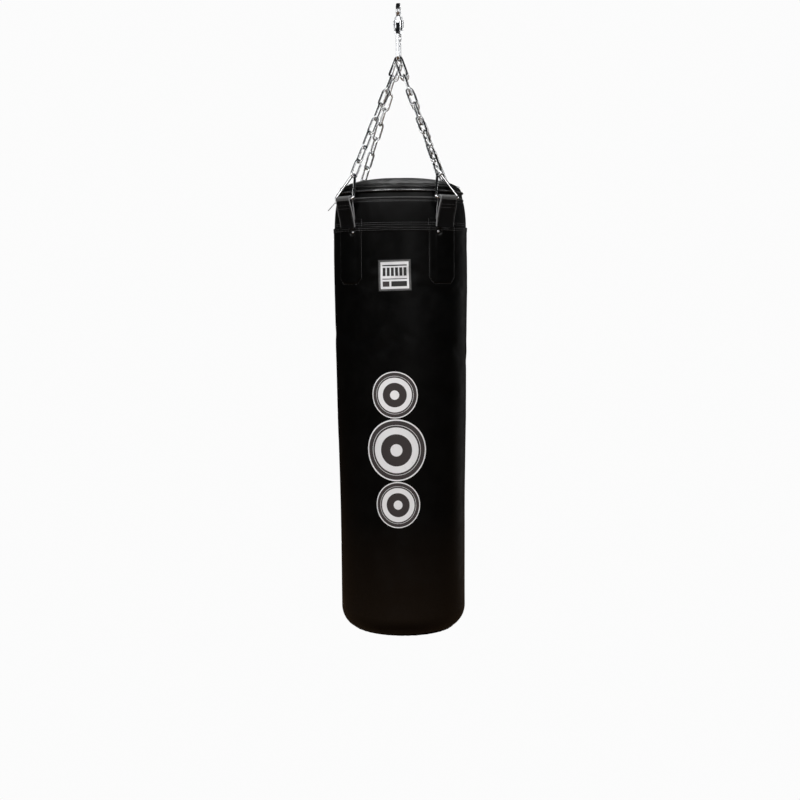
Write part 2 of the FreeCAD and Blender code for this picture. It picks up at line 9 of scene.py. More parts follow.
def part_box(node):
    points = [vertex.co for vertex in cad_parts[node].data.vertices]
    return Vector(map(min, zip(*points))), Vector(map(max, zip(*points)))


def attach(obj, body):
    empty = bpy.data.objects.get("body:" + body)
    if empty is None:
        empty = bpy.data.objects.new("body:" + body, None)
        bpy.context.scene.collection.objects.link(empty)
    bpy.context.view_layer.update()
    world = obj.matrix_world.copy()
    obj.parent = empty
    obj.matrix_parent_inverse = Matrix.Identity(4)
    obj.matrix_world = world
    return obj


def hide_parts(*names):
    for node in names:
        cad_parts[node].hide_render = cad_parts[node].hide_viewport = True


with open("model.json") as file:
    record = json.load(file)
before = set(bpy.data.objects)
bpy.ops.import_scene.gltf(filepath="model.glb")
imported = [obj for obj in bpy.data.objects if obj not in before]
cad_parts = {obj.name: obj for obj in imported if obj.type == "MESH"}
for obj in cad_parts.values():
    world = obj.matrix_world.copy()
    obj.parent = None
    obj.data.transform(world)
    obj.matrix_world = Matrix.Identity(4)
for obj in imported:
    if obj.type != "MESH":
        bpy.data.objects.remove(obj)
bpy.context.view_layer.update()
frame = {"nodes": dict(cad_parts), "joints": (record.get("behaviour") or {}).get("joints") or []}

# Metres throughout. Azimuth 0 is the front (-Y), positive towards the right (+X), in radians.
# "h" is a height from the bag's rim, "r" a distance from the bag's axis, "lift" a height off the
# leather.

RNG = np.random.default_rng(20)
drapes = {}
MM = 0.001
ROUND_STEPS = 720
LEGS = ("front_left", "front_right", "rear_left", "rear_right")

# Places taken from the frame
LID_CROWN = 8 * MM
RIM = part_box("lid_cover")[1].z - LID_CROWN
BOTTOM_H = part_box("bottom_panel")[0].z - RIM
SHELL_TOP_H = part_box("outer_shell")[1].z - RIM
ZIP_TOP_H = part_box("zip_teeth")[1].z - RIM
ZIP_LOW_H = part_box("zip_teeth")[0].z - RIM
ZIP_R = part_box("zip_teeth")[1].x
STRAP_LOW_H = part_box("hanging_strap_front_right")[0].z - RIM

# Leather shell
UPPER_R = 175.5 * MM
LOWER_R = 166.5 * MM
TAPER_TOP_H = -300 * MM
TAPER_LOW_H = -900 * MM
CORNER_R = 58 * MM
BOTTOM_SEAM_ANGLE = 60
GATHER = 1.3 * MM
SKIN = 1.8 * MM
HEM_HEIGHT = 11 * MM
HEM_LIFT = 0.8 * MM
SEAM_ROWS = (-121.5 * MM, -126.5 * MM)
COLLAR_ROWS = (-107.5 * MM, -112.5 * MM)
COLLAR_LOW_R = 173.4 * MM
COLLAR_TOP_R = 166.4 * MM
BOX_HALF_WIDTH = 42.5 * MM
BOX_SHIFT = math.radians(2.6)
BOX_TOP_H = -97 * MM
BOX_CHAMFER = 15 * MM
BOX_LIFT = 0.9 * MM
STITCH_PITCH = 4.6 * MM
STITCH_LENGTH = 3.5 * MM
THREAD_R = 0.42 * MM
THREAD_LIFT = 0.1 * MM

# Liner and filling, inwards from the leather's face
LINER_DEPTH = 6.5 * MM
LINER_THICKNESS = 6.5 * MM
FILLING_DEPTH = 15.2 * MM

# Rivets through the straps
RIVET_AZIMUTHS = [math.radians(a) for a in (-38.5, 38.5, -141.5, 141.5)]
RIVET_H = sum(corner.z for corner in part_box("strap_rivets")) / 2 - RIM
RIVET_SEAT_R = 6 * MM

# Cloth simulation
CLOTH_FRAMES = 20
BAG_VOXEL = 9 * MM
LID_VOXEL = 5 * MM
LID_HELD_H = -22 * MM
BAG_GROWTH = 0.002
LID_GROWTH = 0.008
BAG_CAP = 1.8 * MM
LID_CAP = 5 * MM
START_LUMPS = 0.6
CLOTH_SETTINGS = {"quality": 5, "mass": 0.4, "tension_stiffness": 40, "compression_stiffness": 40,
                  "shear_stiffness": 20, "bending_stiffness": 2, "use_pressure": True,
                  "uniform_pressure_force": 4.0, "vertex_group_mass": "held"}
DRAPE_STEP = 8 * MM
DRAPE_AROUND = 144
DRAPE_NEAR = 10
DRAPE_REACH = 7 * MM
CORNER_ROWS = 19

# Zip
TOOTH_PITCH = 1.7 * MM
TOOTH_R = 0.5 * MM

# Straps
STRAP_HALF_WIDTH = 30 * MM
STRAP_LAYER = 3.1 * MM
STRAP_OVER_BAR = 8.6 * MM
BAR_R = 183 * MM
BAR_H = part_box("hanging_strap_front_right")[1].z - RIM - STRAP_OVER_BAR
BAR_WIRE_R = 3.5 * MM

# Label and emblem
LABEL_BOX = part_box("label_patch")
LABEL_FACE = 1.05 * MM
HEM_TO_THREAD = 2.6 * MM
EMBLEM_H = -685 * MM
EMBLEM_TILT = math.radians(1.2)
PRINT_THICKNESS = 0.12 * MM
PRINT_HOLE = 0.03 * MM

BACKDROP = 0.97


# ---- mesh helpers

def make_mesh(name, points, faces, materials, face_slots=None):
    mesh = bpy.data.meshes.new(name)
    mesh.from_pydata([tuple(p) for p in points], [], faces)
    for material in materials:
        if material is not None:
            mesh.materials.append(material)
    if face_slots is not None:
        mesh.polygons.foreach_set("material_index", face_slots)
    mesh.polygons.foreach_set("use_smooth", [True] * len(mesh.polygons))
    mesh.update()
    piece = bpy.data.objects.new(name, mesh)
    bpy.context.scene.collection.objects.link(piece)
    return piece


def grid_faces(rows, columns, wrap_rows, wrap_columns):
    """Quads over a rows by columns grid of points."""
    last_row = rows if wrap_rows else rows - 1
    last_column = columns if wrap_columns else columns - 1
    i, j = np.meshgrid(np.arange(last_row), np.arange(last_column), indexing="ij")
    i2 = (i + 1) % rows
    j2 = (j + 1) % columns
    quads = np.stack([i * columns + j, i2 * columns + j, i2 * columns + j2, i * columns + j2], -1)
    return quads.reshape(-1, 4).tolist()


def all_round(steps=ROUND_STEPS):
    return np.linspace(0, 2 * math.pi, steps, endpoint=False)


def round_skin(name, radii, heights, material, closed=True):
    """Skin of rows of points round the bag's axis: radii and heights are rows by azimuth steps.
    A closed skin joins its last row to its first; an open one has a point on the axis at each end."""
    rows, steps = radii.shape
    azimuth = all_round(steps)
    points = np.stack([radii * np.sin(azimuth), -radii * np.cos(azimuth), RIM + heights], -1)
    points = points.reshape(-1, 3)
    faces = grid_faces(rows, steps, closed, True)
    if not closed:
        poles = [(0, 0, RIM + heights[0].mean()), (0, 0, RIM + heights[-1].mean())]
        first = len(points)
        points = np.vstack([points, poles])
        low = (rows - 1) * steps
        for j in range(steps):
            k = (j + 1) % steps
            faces.append((first, j, k))
            faces.append((first + 1, low + k, low + j))
    return make_mesh(name, points, faces, [material])


def smooth_step(x, low, high):
    t = np.clip((x - low) / (high - low), 0, 1)
    return t * t * (3 - 2 * t)


def hump(x, centre, width):
    return np.exp(-((x - centre) / width) ** 2)


def assign(piece, node=None, body="bag"):
    """Hangs the piece under its body's empty, and hides the CAD node that it stands in for."""
    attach(piece, body)
    if node is not None:
        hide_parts(node)


def join(name, parts):
    """One object out of several, under the first one's name."""
    for part in bpy.context.selected_objects:
        part.select_set(False)
    for part in parts:
        part.select_set(True)
    bpy.context.view_layer.objects.active = parts[0]
    bpy.ops.object.join()
    parts[0].name = name
    return parts[0]


# ---- the bag's surface

STRAP_AZIMUTHS = []
for leg in LEGS:
    low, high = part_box("hanging_strap_" + leg)
    STRAP_AZIMUTHS.append(math.atan2(low.x + high.x, -(low.y + high.y)))
LUMPS = [(RNG.uniform(0.12, 0.30) * MM, int(RNG.integers(2, 8)), RNG.uniform(6, 34), RNG.uniform(0, 6.28))
         for _ in range(12)]
PUCKERS = [(int(RNG.integers(19, 64)), RNG.uniform(0, 6.28)) for _ in range(6)]


def filling_lumps(azimuth, h):
    """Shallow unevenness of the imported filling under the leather."""
    total = np.zeros_like(azimuth + h)
    for size, around, down, phase in LUMPS:
        total = total + size * np.cos(around * azimuth + phase) * np.sin(down * h + phase)
    return total


def strap_offset(azimuth, strap_azimuth):
    """Distance round the leather from a middle line."""
    turn = (azimuth - strap_azimuth + math.pi) % (2 * math.pi) - math.pi
    return turn * UPPER_R


def box_azimuth(strap_azimuth):
    """Middle of a sewn box, a little nearer the front or rear middle than its strap."""
    return strap_azimuth - math.copysign(BOX_SHIFT, math.sin(2 * strap_azimuth))


def box_depth(across, h):
    """How far a point lies inside a strap's sewn box; negative outside."""
    side = BOX_HALF_WIDTH - np.abs(across)
    up = h - STRAP_LOW_H
    return np.minimum(np.minimum(side, up), (side + up - BOX_CHAMFER) / math.sqrt(2))


def beside_strap(azimuth, strap_azimuth, start, end):
    """1 under a strap, falling to 0 between two distances past its edge."""
    gap = np.abs(strap_offset(azimuth, strap_azimuth)) - STRAP_HALF_WIDTH
    return 1 - smooth_step(gap, start, end)


def strap_relief(azimuth, h):
    """Raised box over each strap's tail, drawn in along its stitch line."""
    total = np.zeros_like(azimuth + h)
    for strap_azimuth in STRAP_AZIMUTHS:
        depth = box_depth(strap_offset(azimuth, box_azimuth(strap_azimuth)), h)
        below_top = 1 - smooth_step(h, BOX_TOP_H - 2 * MM, BOX_TOP_H + 2 * MM)
        box = BOX_LIFT * smooth_step(depth, 0, 3 * MM) - 0.75 * MM * hump(depth, 0, 1.7 * MM)
        tail_edge = beside_strap(azimuth, strap_azimuth, -1 * MM, 3 * MM)
        tail = (0.5 + 1.7 * smooth_step(h, -0.17, -0.118)) * MM * tail_edge
        tail = tail * smooth_step(depth, 0, 8 * MM)
        total = total + below_top * (box + tail * (h < SHELL_TOP_H + 3 * MM))
    return total


def back_seam(azimuth, h):
    """Lapped vertical seam at the rear."""
    across = strap_offset(azimuth, math.pi)
    lap = 0.7 * MM * smooth_step(across, -1.5 * MM, 1.5 * MM)
    lap = lap * (1 - smooth_step(across, 12 * MM, 15 * MM))
    rows = hump(across, 4 * MM, 1.2 * MM) + hump(across, 9 * MM, 1.2 * MM)
    return (lap - 0.4 * MM * rows) * smooth_step(h, BOTTOM_H + 0.03, BOTTOM_H + 0.06)


def slack(azimuth, h):
    """How far the leather lies off the plain tube, from the simulated skin when there is one."""
    if "shell" not in drapes:
        return filling_lumps(azimuth, h)
    return drapes["shell"].at(azimuth, (h - SHELL_TOP_H) / -DRAPE_STEP)[0]


def rivet_seat(azimuth, h):
    """0 under a rivet's head, where the leather is pulled flat, and 1 away from it."""
    seat = np.ones_like(azimuth + h)
    for rivet_azimuth in RIVET_AZIMUTHS:
        gap = np.hypot(strap_offset(azimuth, rivet_azimuth), h - RIVET_H)
        seat = seat * smooth_step(gap, RIVET_SEAT_R, RIVET_SEAT_R + 6 * MM)
    return seat


def shell_relief(azimuth, h):
    """All that stands proud of, or sinks into, the plain leather tube."""
    hem = HEM_LIFT * smooth_step(h, SHELL_TOP_H - HEM_HEIGHT - 1 * MM, SHELL_TOP_H - HEM_HEIGHT + 1 * MM)
    rows = sum(hump(h, row, 1.3 * MM) for row in SEAM_ROWS) * 0.35 * MM
    roll = 0.5 * MM * hump(h, SHELL_TOP_H - 1.5 * MM, 2 * MM)
    fade = smooth_step(SHELL_TOP_H - h, 0.005, 0.09)
    padding = slack(azimuth, h) * fade + strap_relief(azimuth, h)
    return padding * rivet_seat(azimuth, h) + back_seam(azimuth, h) + hem + roll - rows


def pucker(azimuth, strength):
    """Small gathers where the tube is sewn to the round bottom."""
    total = sum(np.abs(np.sin(around / 2 * azimuth + phase)) for around, phase in PUCKERS) / len(PUCKERS)
    return strength * (total - 0.64)


def plain_r(h):
    """Radius of the plain tube, a little slimmer towards the bottom."""
    return UPPER_R - (UPPER_R - LOWER_R) * (1 - smooth_step(h, TAPER_LOW_H, TAPER_TOP_H))


def leather_r(azimuth, h):
    """Radius of the finished leather on the shell."""
    return plain_r(h) + shell_relief(azimuth, h)


def collar_r(azimuth, h):
    """Radius of the finished leather on the collar, pressed in under the straps."""
    t = np.clip((ZIP_LOW_H - h) / (ZIP_LOW_H - SHELL_TOP_H), 0, 1)
    base = COLLAR_TOP_R + (COLLAR_LOW_R - COLLAR_TOP_R) * np.sin(t * math.pi / 2) ** 0.8
    rows = 0.3 * MM * sum(hump(h, row, 1.3 * MM) for row in COLLAR_ROWS)
    rows = rows + 0.3 * MM * hump(h, ZIP_LOW_H - 5 * MM, 1.4 * MM)
    top = -1.2 * MM * hump(h, ZIP_LOW_H, 2.5 * MM)
    ripple = 0.35 * MM * np.sin(9 * azimuth + 40 * h) * np.sin(23 * azimuth) * np.sin(t * math.pi)
    press = sum(beside_strap(azimuth, a, 0, 6 * MM) for a in STRAP_AZIMUTHS)
    return base - rows + top + ripple + 0.6 * strap_relief(azimuth, h) - 0.8 * MM * press * t


def on_surface(azimuth, h, lift, radius_of=leather_r):
    """Points on the leather, and the outward directions there."""
    azimuth = np.asarray(azimuth, float)
    h = np.asarray(h, float)
    r = radius_of(azimuth, h)
    step = 1e-4
    slope = (radius_of(azimuth, h + step) - radius_of(azimuth, h - step)) / (2 * step)
    swing = (radius_of(azimuth + step, h) - radius_of(azimuth - step, h)) / (2 * step) / r
    outward = np.stack([np.sin(azimuth) - swing * np.cos(azimuth),
                        -np.cos(azimuth) - swing * np.sin(azimuth), -slope], -1)
    outward /= np.linalg.norm(outward, axis=-1, keepdims=True)
    points = np.stack([r * np.sin(azimuth), -r * np.cos(azimuth), RIM + h], -1)
    return points + outward * lift, outward


# ---- cloth simulation

class Drape:
    """Shift of a simulated skin, read at any azimuth and any place along its outline."""

    def __init__(self, rest, shift, outline):
        tree = kdtree.KDTree(len(rest))
        for k, point in enumerate(rest):
            tree.insert(point, k)
        tree.balance()
        self.out = np.zeros((len(outline), DRAPE_AROUND))
        self.up = np.zeros((len(outline), DRAPE_AROUND))
        for i, (r, h) in enumerate(outline):
            for j in range(DRAPE_AROUND):
                a = 2 * math.pi * j / DRAPE_AROUND
                found = tree.find_n((r * math.sin(a), -r * math.cos(a), RIM + h), DRAPE_NEAR)
                weights = np.array([math.exp(-(gap / DRAPE_REACH) ** 2) + 1e-6 for _, _, gap in found])
                mean = weights @ shift[[k for _, k, _ in found]] / weights.sum()
                self.out[i, j] = mean[0] * math.sin(a) - mean[1] * math.cos(a)
                self.up[i, j] = mean[2]

    def at(self, azimuth, row):
        """Outward and upward shift, by cubic splines through the nearest sixteen places."""
        row, column = np.broadcast_arrays(row, azimuth / (2 * math.pi) * DRAPE_AROUND)
        i = np.floor(row).astype(int)
        j = np.floor(column).astype(int)
        out = np.zeros(row.shape)
        up = np.zeros(row.shape)
        for m, row_weight in zip(range(-1, 3), spline_weights(row - i)):
            for n, column_weight in zip(range(-1, 3), spline_weights(column - j)):
                place = (np.clip(i + m, 0, len(self.out) - 1), (j + n) % DRAPE_AROUND)
                out += row_weight * column_weight * self.out[place]
                up += row_weight * column_weight * self.up[place]
        return out, up

    def keep_round(self):
        """Takes out the even swelling of each row, so that the bag keeps its diameter."""
        self.out -= self.out.mean(1, keepdims=True)


def spline_weights(t):
    """Shares of the four places round a point that lies t past the second one."""
    return ((1 - t) ** 3 / 6, (3 * t ** 3 - 6 * t ** 2 + 4) / 6,
            (3 * t + 3 * t ** 2 - 3 * t ** 3 + 1) / 6, t ** 3 / 6)


def blown(skin, voxel, held, growth, cap):
    """Cloth simulation of a closed skin: the points at rest, and how far each one moves."""
    bpy.ops.object.select_all(action="DESELECT")
    bpy.context.view_layer.objects.active = skin
    skin.select_set(True)
    skin.data.remesh_voxel_size = voxel
    bpy.ops.object.voxel_remesh()
    rest = np.array([v.co for v in skin.data.vertices])
    group = skin.vertex_groups.new(name="held")
    group.add(np.where(held(rest))[0].tolist(), 1.0, "REPLACE")
    cloth = skin.modifiers.new("cloth", "CLOTH")
    cloth.collision_settings.use_collision = False
    for key, value in CLOTH_SETTINGS.items():
        setattr(cloth.settings, key, value)
    cloth.settings.shrink_min = -growth
    cloth.settings.effector_weights.gravity = 0
    for number in range(1, CLOTH_FRAMES + 1):
        bpy.context.scene.frame_set(number)
    settled = skin.evaluated_get(bpy.context.evaluated_depsgraph_get()).data
    shift = np.array([v.co for v in settled.vertices]) - rest
    length = np.linalg.norm(shift, axis=1, keepdims=True)
    shift *= np.minimum(1, cap / np.maximum(length, 1e-9))
    bpy.data.objects.remove(skin)
    bpy.context.scene.frame_set(1)
    return rest, shift


def polar(points):
    """Azimuth, r and h of points."""
    x, y, z = points.T
    return np.arctan2(x, -y), np.hypot(x, y), z - RIM


def simulate_bag():
    """Leather tube and bottom, blown out by the filling and held at their seams and sewn boxes."""
    azimuth = all_round(ROUND_STEPS // 2)[None, :]
    h = np.arange(SHELL_TOP_H, BOTTOM_H + CORNER_R, -DRAPE_STEP)[:, None]
    tube = plain_r(h) + START_LUMPS * filling_lumps(azimuth, h)
    corner_r, corner_h = corner_profile(0, 90, CORNER_R, 24)
    radii = np.vstack([tube, corner_r[:, None] + 0 * azimuth])
    heights = np.vstack([h, corner_h[:, None]]) + 0 * azimuth
    skin = round_skin("bag_skin", radii, heights, None, closed=False)

    def held(points):
        a, r, height = polar(points)
        seams = (height > SHELL_TOP_H - HEM_HEIGHT) | (np.abs(strap_offset(a, math.pi)) < 8 * MM)
        seam_r, seam_h = corner_profile(BOTTOM_SEAM_ANGLE, BOTTOM_SEAM_ANGLE, CORNER_R, 1)
        seams |= np.hypot(r - seam_r[0], height - seam_h[0]) < BAG_VOXEL
        for strap_azimuth in STRAP_AZIMUTHS:
            depth = box_depth(strap_offset(a, box_azimuth(strap_azimuth)), height)
            seams |= (np.abs(depth) < BAG_VOXEL / 2) & (r > 0.16)
        return seams

    rest, shift = blown(skin, BAG_VOXEL, held, BAG_GROWTH, BAG_CAP)
    rest_azimuth, rest_r, rest_h = polar(rest)
    on_tube = (rest_h > BOTTOM_H + CORNER_R) & (rest_h < SHELL_TOP_H - 2 * MM) & (rest_r > 0.15)
    start = START_LUMPS * filling_lumps(rest_azimuth, rest_h) * on_tube
    outward = rest * np.array([1, 1, 0]) / np.maximum(rest_r, 1e-6)[:, None]
    rows = np.arange(SHELL_TOP_H, BOTTOM_H + CORNER_R - 2 * DRAPE_STEP, -DRAPE_STEP)
    drapes["shell"] = Drape(rest, shift + outward * start[:, None], [(plain_r(row), row) for row in rows])
    drapes["shell"].keep_round()
    drapes["corner"] = Drape(rest, shift, list(zip(*corner_profile(0, 90, CORNER_R, CORNER_ROWS))))
    drapes["corner"].keep_round()


def simulate_lid():
    """Padded lid, pressed up by its pad and held by its piped edge and zip."""
    azimuth = all_round(ROUND_STEPS // 2)[None, :]
    r, h = lid_outline()
    radii = np.concatenate([r, [r[-1] - 8 * MM, 2 * MM]])[:, None] + 0 * azimuth
    heights = np.concatenate([h, h[-1:], h[-1:]])[:, None] + 0 * azimuth
    skin = round_skin("lid_skin", radii, heights, None, closed=False)

    def held(points):
        return polar(points)[2] < LID_HELD_H

    rest, shift = blown(skin, LID_VOXEL, held, LID_GROWTH, LID_CAP)
    drapes["lid"] = Drape(rest, shift, list(zip(r, h)))


# ---- stitching

def thread_template():
    """One stitch as a low capsule along X: rounded ends that dive into the leather."""
    along = np.array([-0.5, -0.42, -0.2, 0.2, 0.42, 0.5])
    swell = np.array([0.35, 0.8, 1.0, 1.0, 0.8, 0.35])
    sink = np.array([-1.3, -0.5, 0.15, 0.15, -0.5, -1.3])
    sides = 6
    turn = all_round(sides)
    points = []
    for a, s, d in zip(along, swell, sink):
        for t in turn:
            points.append((a, s * math.cos(t), s * math.sin(t) + d))
    faces = grid_faces(len(along), sides, False, True)
    last = (len(along) - 1) * sides
    faces.append(tuple(range(sides)))
    faces.append(tuple(reversed(range(last, last + sides))))
    return np.array(points), faces


STITCH_POINTS, STITCH_FACES = thread_template()


def sew(name, runs, material):
    """Rows of stitches. Each run is points along a line and the outward directions there."""
    points = []
    faces = []
    for line, outward in runs:
        steps = np.linalg.norm(np.diff(line, axis=0), axis=1)
        place = np.concatenate([[0], np.cumsum(steps)])
        count = max(1, int(round(place[-1] / STITCH_PITCH)))
        for i in range(count):
            middle = (i + 0.5) * place[-1] / count
            ends = [middle - STITCH_LENGTH / 2, middle + STITCH_LENGTH / 2]
            a, b = [np.array([np.interp(e, place, line[:, k]) for k in range(3)]) for e in ends]
            up = np.array([np.interp(middle, place, outward[:, k]) for k in range(3)])
            forward = (b - a) / np.linalg.norm(b - a)
            up = up - forward * up.dot(forward)
            up /= np.linalg.norm(up)
            side = np.cross(up, forward)
            frame_of_stitch = [STITCH_LENGTH * forward, THREAD_R * side, THREAD_R * up]
            stitch = (a + b) / 2 + STITCH_POINTS @ frame_of_stitch
            start = len(points)
            points.extend(stitch)
            faces.extend([tuple(start + k for k in face) for face in STITCH_FACES])
    return make_mesh(name, points, faces, [material])


def ring_run(h, radius_of=leather_r):
    azimuth = np.linspace(0, 2 * math.pi, ROUND_STEPS + 1)
    return on_surface(azimuth, np.full_like(azimuth, h), THREAD_LIFT, radius_of)


def line_run(corners, radius_of=leather_r, lift=THREAD_LIFT):
    """A run through (azimuth, h) corners."""
    azimuth = []
    h = []
    for (a1, h1), (a2, h2) in zip(corners, corners[1:]):
        length = math.hypot((a2 - a1) * UPPER_R, h2 - h1)
        steps = max(2, int(length / (1.5 * MM)))
        t = np.linspace(0, 1, steps)
        azimuth.append(a1 + (a2 - a1) * t)
        h.append(h1 + (h2 - h1) * t)
    return on_surface(np.concatenate(azimuth), np.concatenate(h), lift, radius_of)


# ---- materials

def rgba(colour):
    """A grey level or an (r, g, b) as a full colour; a node's output stays as it is."""
    if isinstance(colour, float):
        colour = (colour,) * 3
    return (*colour, 1) if isinstance(colour, tuple) else colour


class Shader:
    """A material's node tree, with one call per node."""

    def __init__(self, name):
        self.material = bpy.data.materials.new(name)
        self.material.use_nodes = True
        self.tree = self.material.node_tree
        self.surface = self.tree.nodes["Principled BSDF"]
        self.place = self.tree.nodes.new("ShaderNodeTexCoord").outputs["Object"]

    def feed(self, socket, value):
        if isinstance(value, bpy.types.NodeSocket):
            self.tree.links.new(value, socket)
        else:
            socket.default_value = value

    def fill(self, node, inputs):
        for key, value in inputs.items():
            self.feed(node.inputs[key.replace("_", " ")], value)

    def add(self, kind, settings=None, **inputs):
        node = self.tree.nodes.new(kind)
        for key, value in (settings or {}).items():
            setattr(node, key, value)
        self.fill(node, inputs)
        return node

    def noise(self, scale, detail=3.0, roughness=0.5):
        return self.add("ShaderNodeTexNoise", Vector=self.place, Scale=scale, Detail=detail,
                        Roughness=roughness).outputs["Fac"]

    def cells(self, scale, feature="F1"):
        return self.add("ShaderNodeTexVoronoi", {"feature": feature}, Vector=self.place,
                        Scale=scale).outputs["Distance"]

    def blend(self, factor, low, high):
        """A value that goes from low to high as factor goes from 0 to 1."""
        return self.add("ShaderNodeMapRange", Value=factor, To_Min=low, To_Max=high).outputs["Result"]

    def remap(self, value, low, high):
        """Value stretched so that low becomes 0 and high becomes 1."""
        return self.add("ShaderNodeMapRange", Value=value, From_Min=low, From_Max=high).outputs["Result"]

    def tint(self, factor, low, high):
        return self.add("ShaderNodeMix", {"data_type": "RGBA"}, Factor=factor, A=rgba(low),
                        B=rgba(high)).outputs["Result"]

    def maths(self, operation, a, b=0.5):
        node = self.add("ShaderNodeMath", {"operation": operation})
        self.feed(node.inputs[0], a)
        self.feed(node.inputs[1], b)
        return node.outputs[0]

    def bump(self, height, distance, strength=1.0, under=None):
        node = self.add("ShaderNodeBump", Height=height, Distance=distance, Strength=strength)
        if under is not None:
            self.feed(node.inputs["Normal"], under)
        return node.outputs["Normal"]

    def height(self):
        return self.add("ShaderNodeSeparateXYZ", Vector=self.place).outputs["Z"]

    def finish(self, colour, roughness, normal, **extra):
        self.fill(self.surface, {"Base Color": rgba(colour), "Roughness": roughness, "Normal": normal})
        self.fill(self.surface, extra)
        return self.material


def leather(name, dark, light, gloss, grain=1.0, painted_floor_sheen=False, shine=0.18):
    """Grained leather: pebbled cells, fine pores, soft creases and uneven sheen; optionally a painted
    reflection of a warm floor, brown towards the bottom.
    """
    s = Shader(name)
    pebble = s.cells(720, "SMOOTH_F1")
    pores = s.noise(2600, 2.0)
    crease = s.noise(46, 5.0, 0.6)
    patch = s.noise(9, 3.0)
    colour = s.tint(s.remap(patch, 0.35, 0.7), dark, light)
    if painted_floor_sheen:
        # Painted reflection: the base colour turns brown towards the bottom, standing in for the sheen of
        # a warm floor.
        low = s.remap(s.height(), RIM - 0.86, RIM - 1.19)
        colour = s.tint(s.maths("MULTIPLY", low, 0.85), colour, (0.012, 0.0075, 0.0045))
    worn = s.remap(s.noise(23, 6.0, 0.65), 0.35, 0.75)
    roughness = s.blend(worn, gloss - 0.05, gloss + 0.10)
    normal = s.bump(crease, 0.9 * MM, 0.25 * grain)
    normal = s.bump(pebble, 0.28 * MM, 0.55 * grain, normal)
    normal = s.bump(pores, 0.06 * MM, 0.5 * grain, normal)
    return s.finish(colour, roughness, normal, Specular_IOR_Level=shine)


def plated(name, colour, dull, roughness):
    """Bright plated steel with faint draw marks, handling haze and grime in patches."""
    s = Shader(name)
    haze = s.remap(s.noise(160, 5.0, 0.6), 0.35, 0.75)
    grime = s.remap(s.noise(420, 4.0, 0.7), 0.58, 0.78)
    marks = s.noise(2400, 2.0)
    tone = s.tint(s.maths("MULTIPLY", grime, 0.7), colour, dull)
    rough = s.blend(haze, roughness, roughness + 0.14)
    normal = s.bump(marks, 0.02 * MM, 0.35)
    return s.finish(tone, rough, normal, Metallic=1.0)


def woven(name, dark, light, pitch, gloss=0.7):
    """Plain weave from two crossed sets of ribs, with fuzz."""
    s = Shader(name)
    parts = s.add("ShaderNodeSeparateXYZ", Vector=s.place).outputs
    around = s.maths("ARCTAN2", parts["X"], parts["Y"])
    warp = s.maths("SINE", s.maths("MULTIPLY", around, 2 * math.pi * UPPER_R / pitch), 0)
    weft = s.maths("SINE", s.maths("MULTIPLY", parts["Z"], 2 * math.pi / pitch), 0)
    weave = s.maths("MULTIPLY", warp, weft)
    fuzz = s.noise(1900, 3.0)
    level = s.remap(s.maths("ADD", weave, fuzz), -1.0, 2.0)
    colour = s.tint(level, dark, light)
    normal = s.bump(level, 0.25 * MM, 0.8)
    return s.finish(colour, gloss, normal, Sheen_Weight=0.3)


def spun_thread(name, dark, light):
    s = Shader(name)
    twist = s.add("ShaderNodeTexWave", {"bands_direction": "DIAGONAL"}, Vector=s.place, Scale=900.0,
                  Distortion=2.0).outputs["Fac"]
    colour = s.tint(twist, dark, light)
    return s.finish(colour, 0.55, s.bump(twist, 0.08 * MM, 0.6), Sheen_Weight=0.2)


def moulded(name, colour, shade, roughness):
    """Moulded plastic with a fine spark texture and slight uneven colour."""
    s = Shader(name)
    mottle = s.noise(120, 4.0)
    grain = s.noise(5200, 2.0)
    tone = s.tint(s.remap(mottle, 0.3, 0.7), colour, shade)
    rough = s.blend(grain, roughness - 0.05, roughness + 0.1)
    return s.finish(tone, rough, s.bump(grain, 0.03 * MM, 0.4))


def printed(name, colour, faded):
    """Screen-printed ink: flat, slightly cracked over the grain."""
    s = Shader(name)
    cracks = s.remap(s.cells(520, "DISTANCE_TO_EDGE"), 0.0, 0.06)
    wear = s.remap(s.noise(70, 6.0, 0.7), 0.62, 0.74)
    tone = s.tint(wear, colour, faded)
    normal = s.bump(cracks, 0.05 * MM, 0.35)
    normal = s.bump(s.cells(720, "SMOOTH_F1"), 0.12 * MM, 0.4, normal)
    return s.finish(tone, s.blend(wear, 0.5, 0.62), normal)


def foam_look(name, colour, shade):
    s = Shader(name)
    bubbles = s.cells(420)
    tone = s.tint(s.remap(bubbles, 0.1, 0.8), colour, shade)
    return s.finish(tone, 0.85, s.bump(bubbles, 0.5 * MM, 0.8))


def rag_look(name):
    """Packed shredded textile in mixed greys."""
    s = Shader(name)
    scraps = s.cells(55)
    threads = s.noise(900, 4.0, 0.7)
    tone = s.tint(s.remap(scraps, 0.0, 0.9), (0.62, 0.60, 0.57), (0.12, 0.13, 0.16))
    normal = s.bump(threads, 0.6 * MM, 0.8, s.bump(scraps, 3 * MM, 0.7))
    return s.finish(tone, 0.95, normal, Sheen_Weight=0.4)


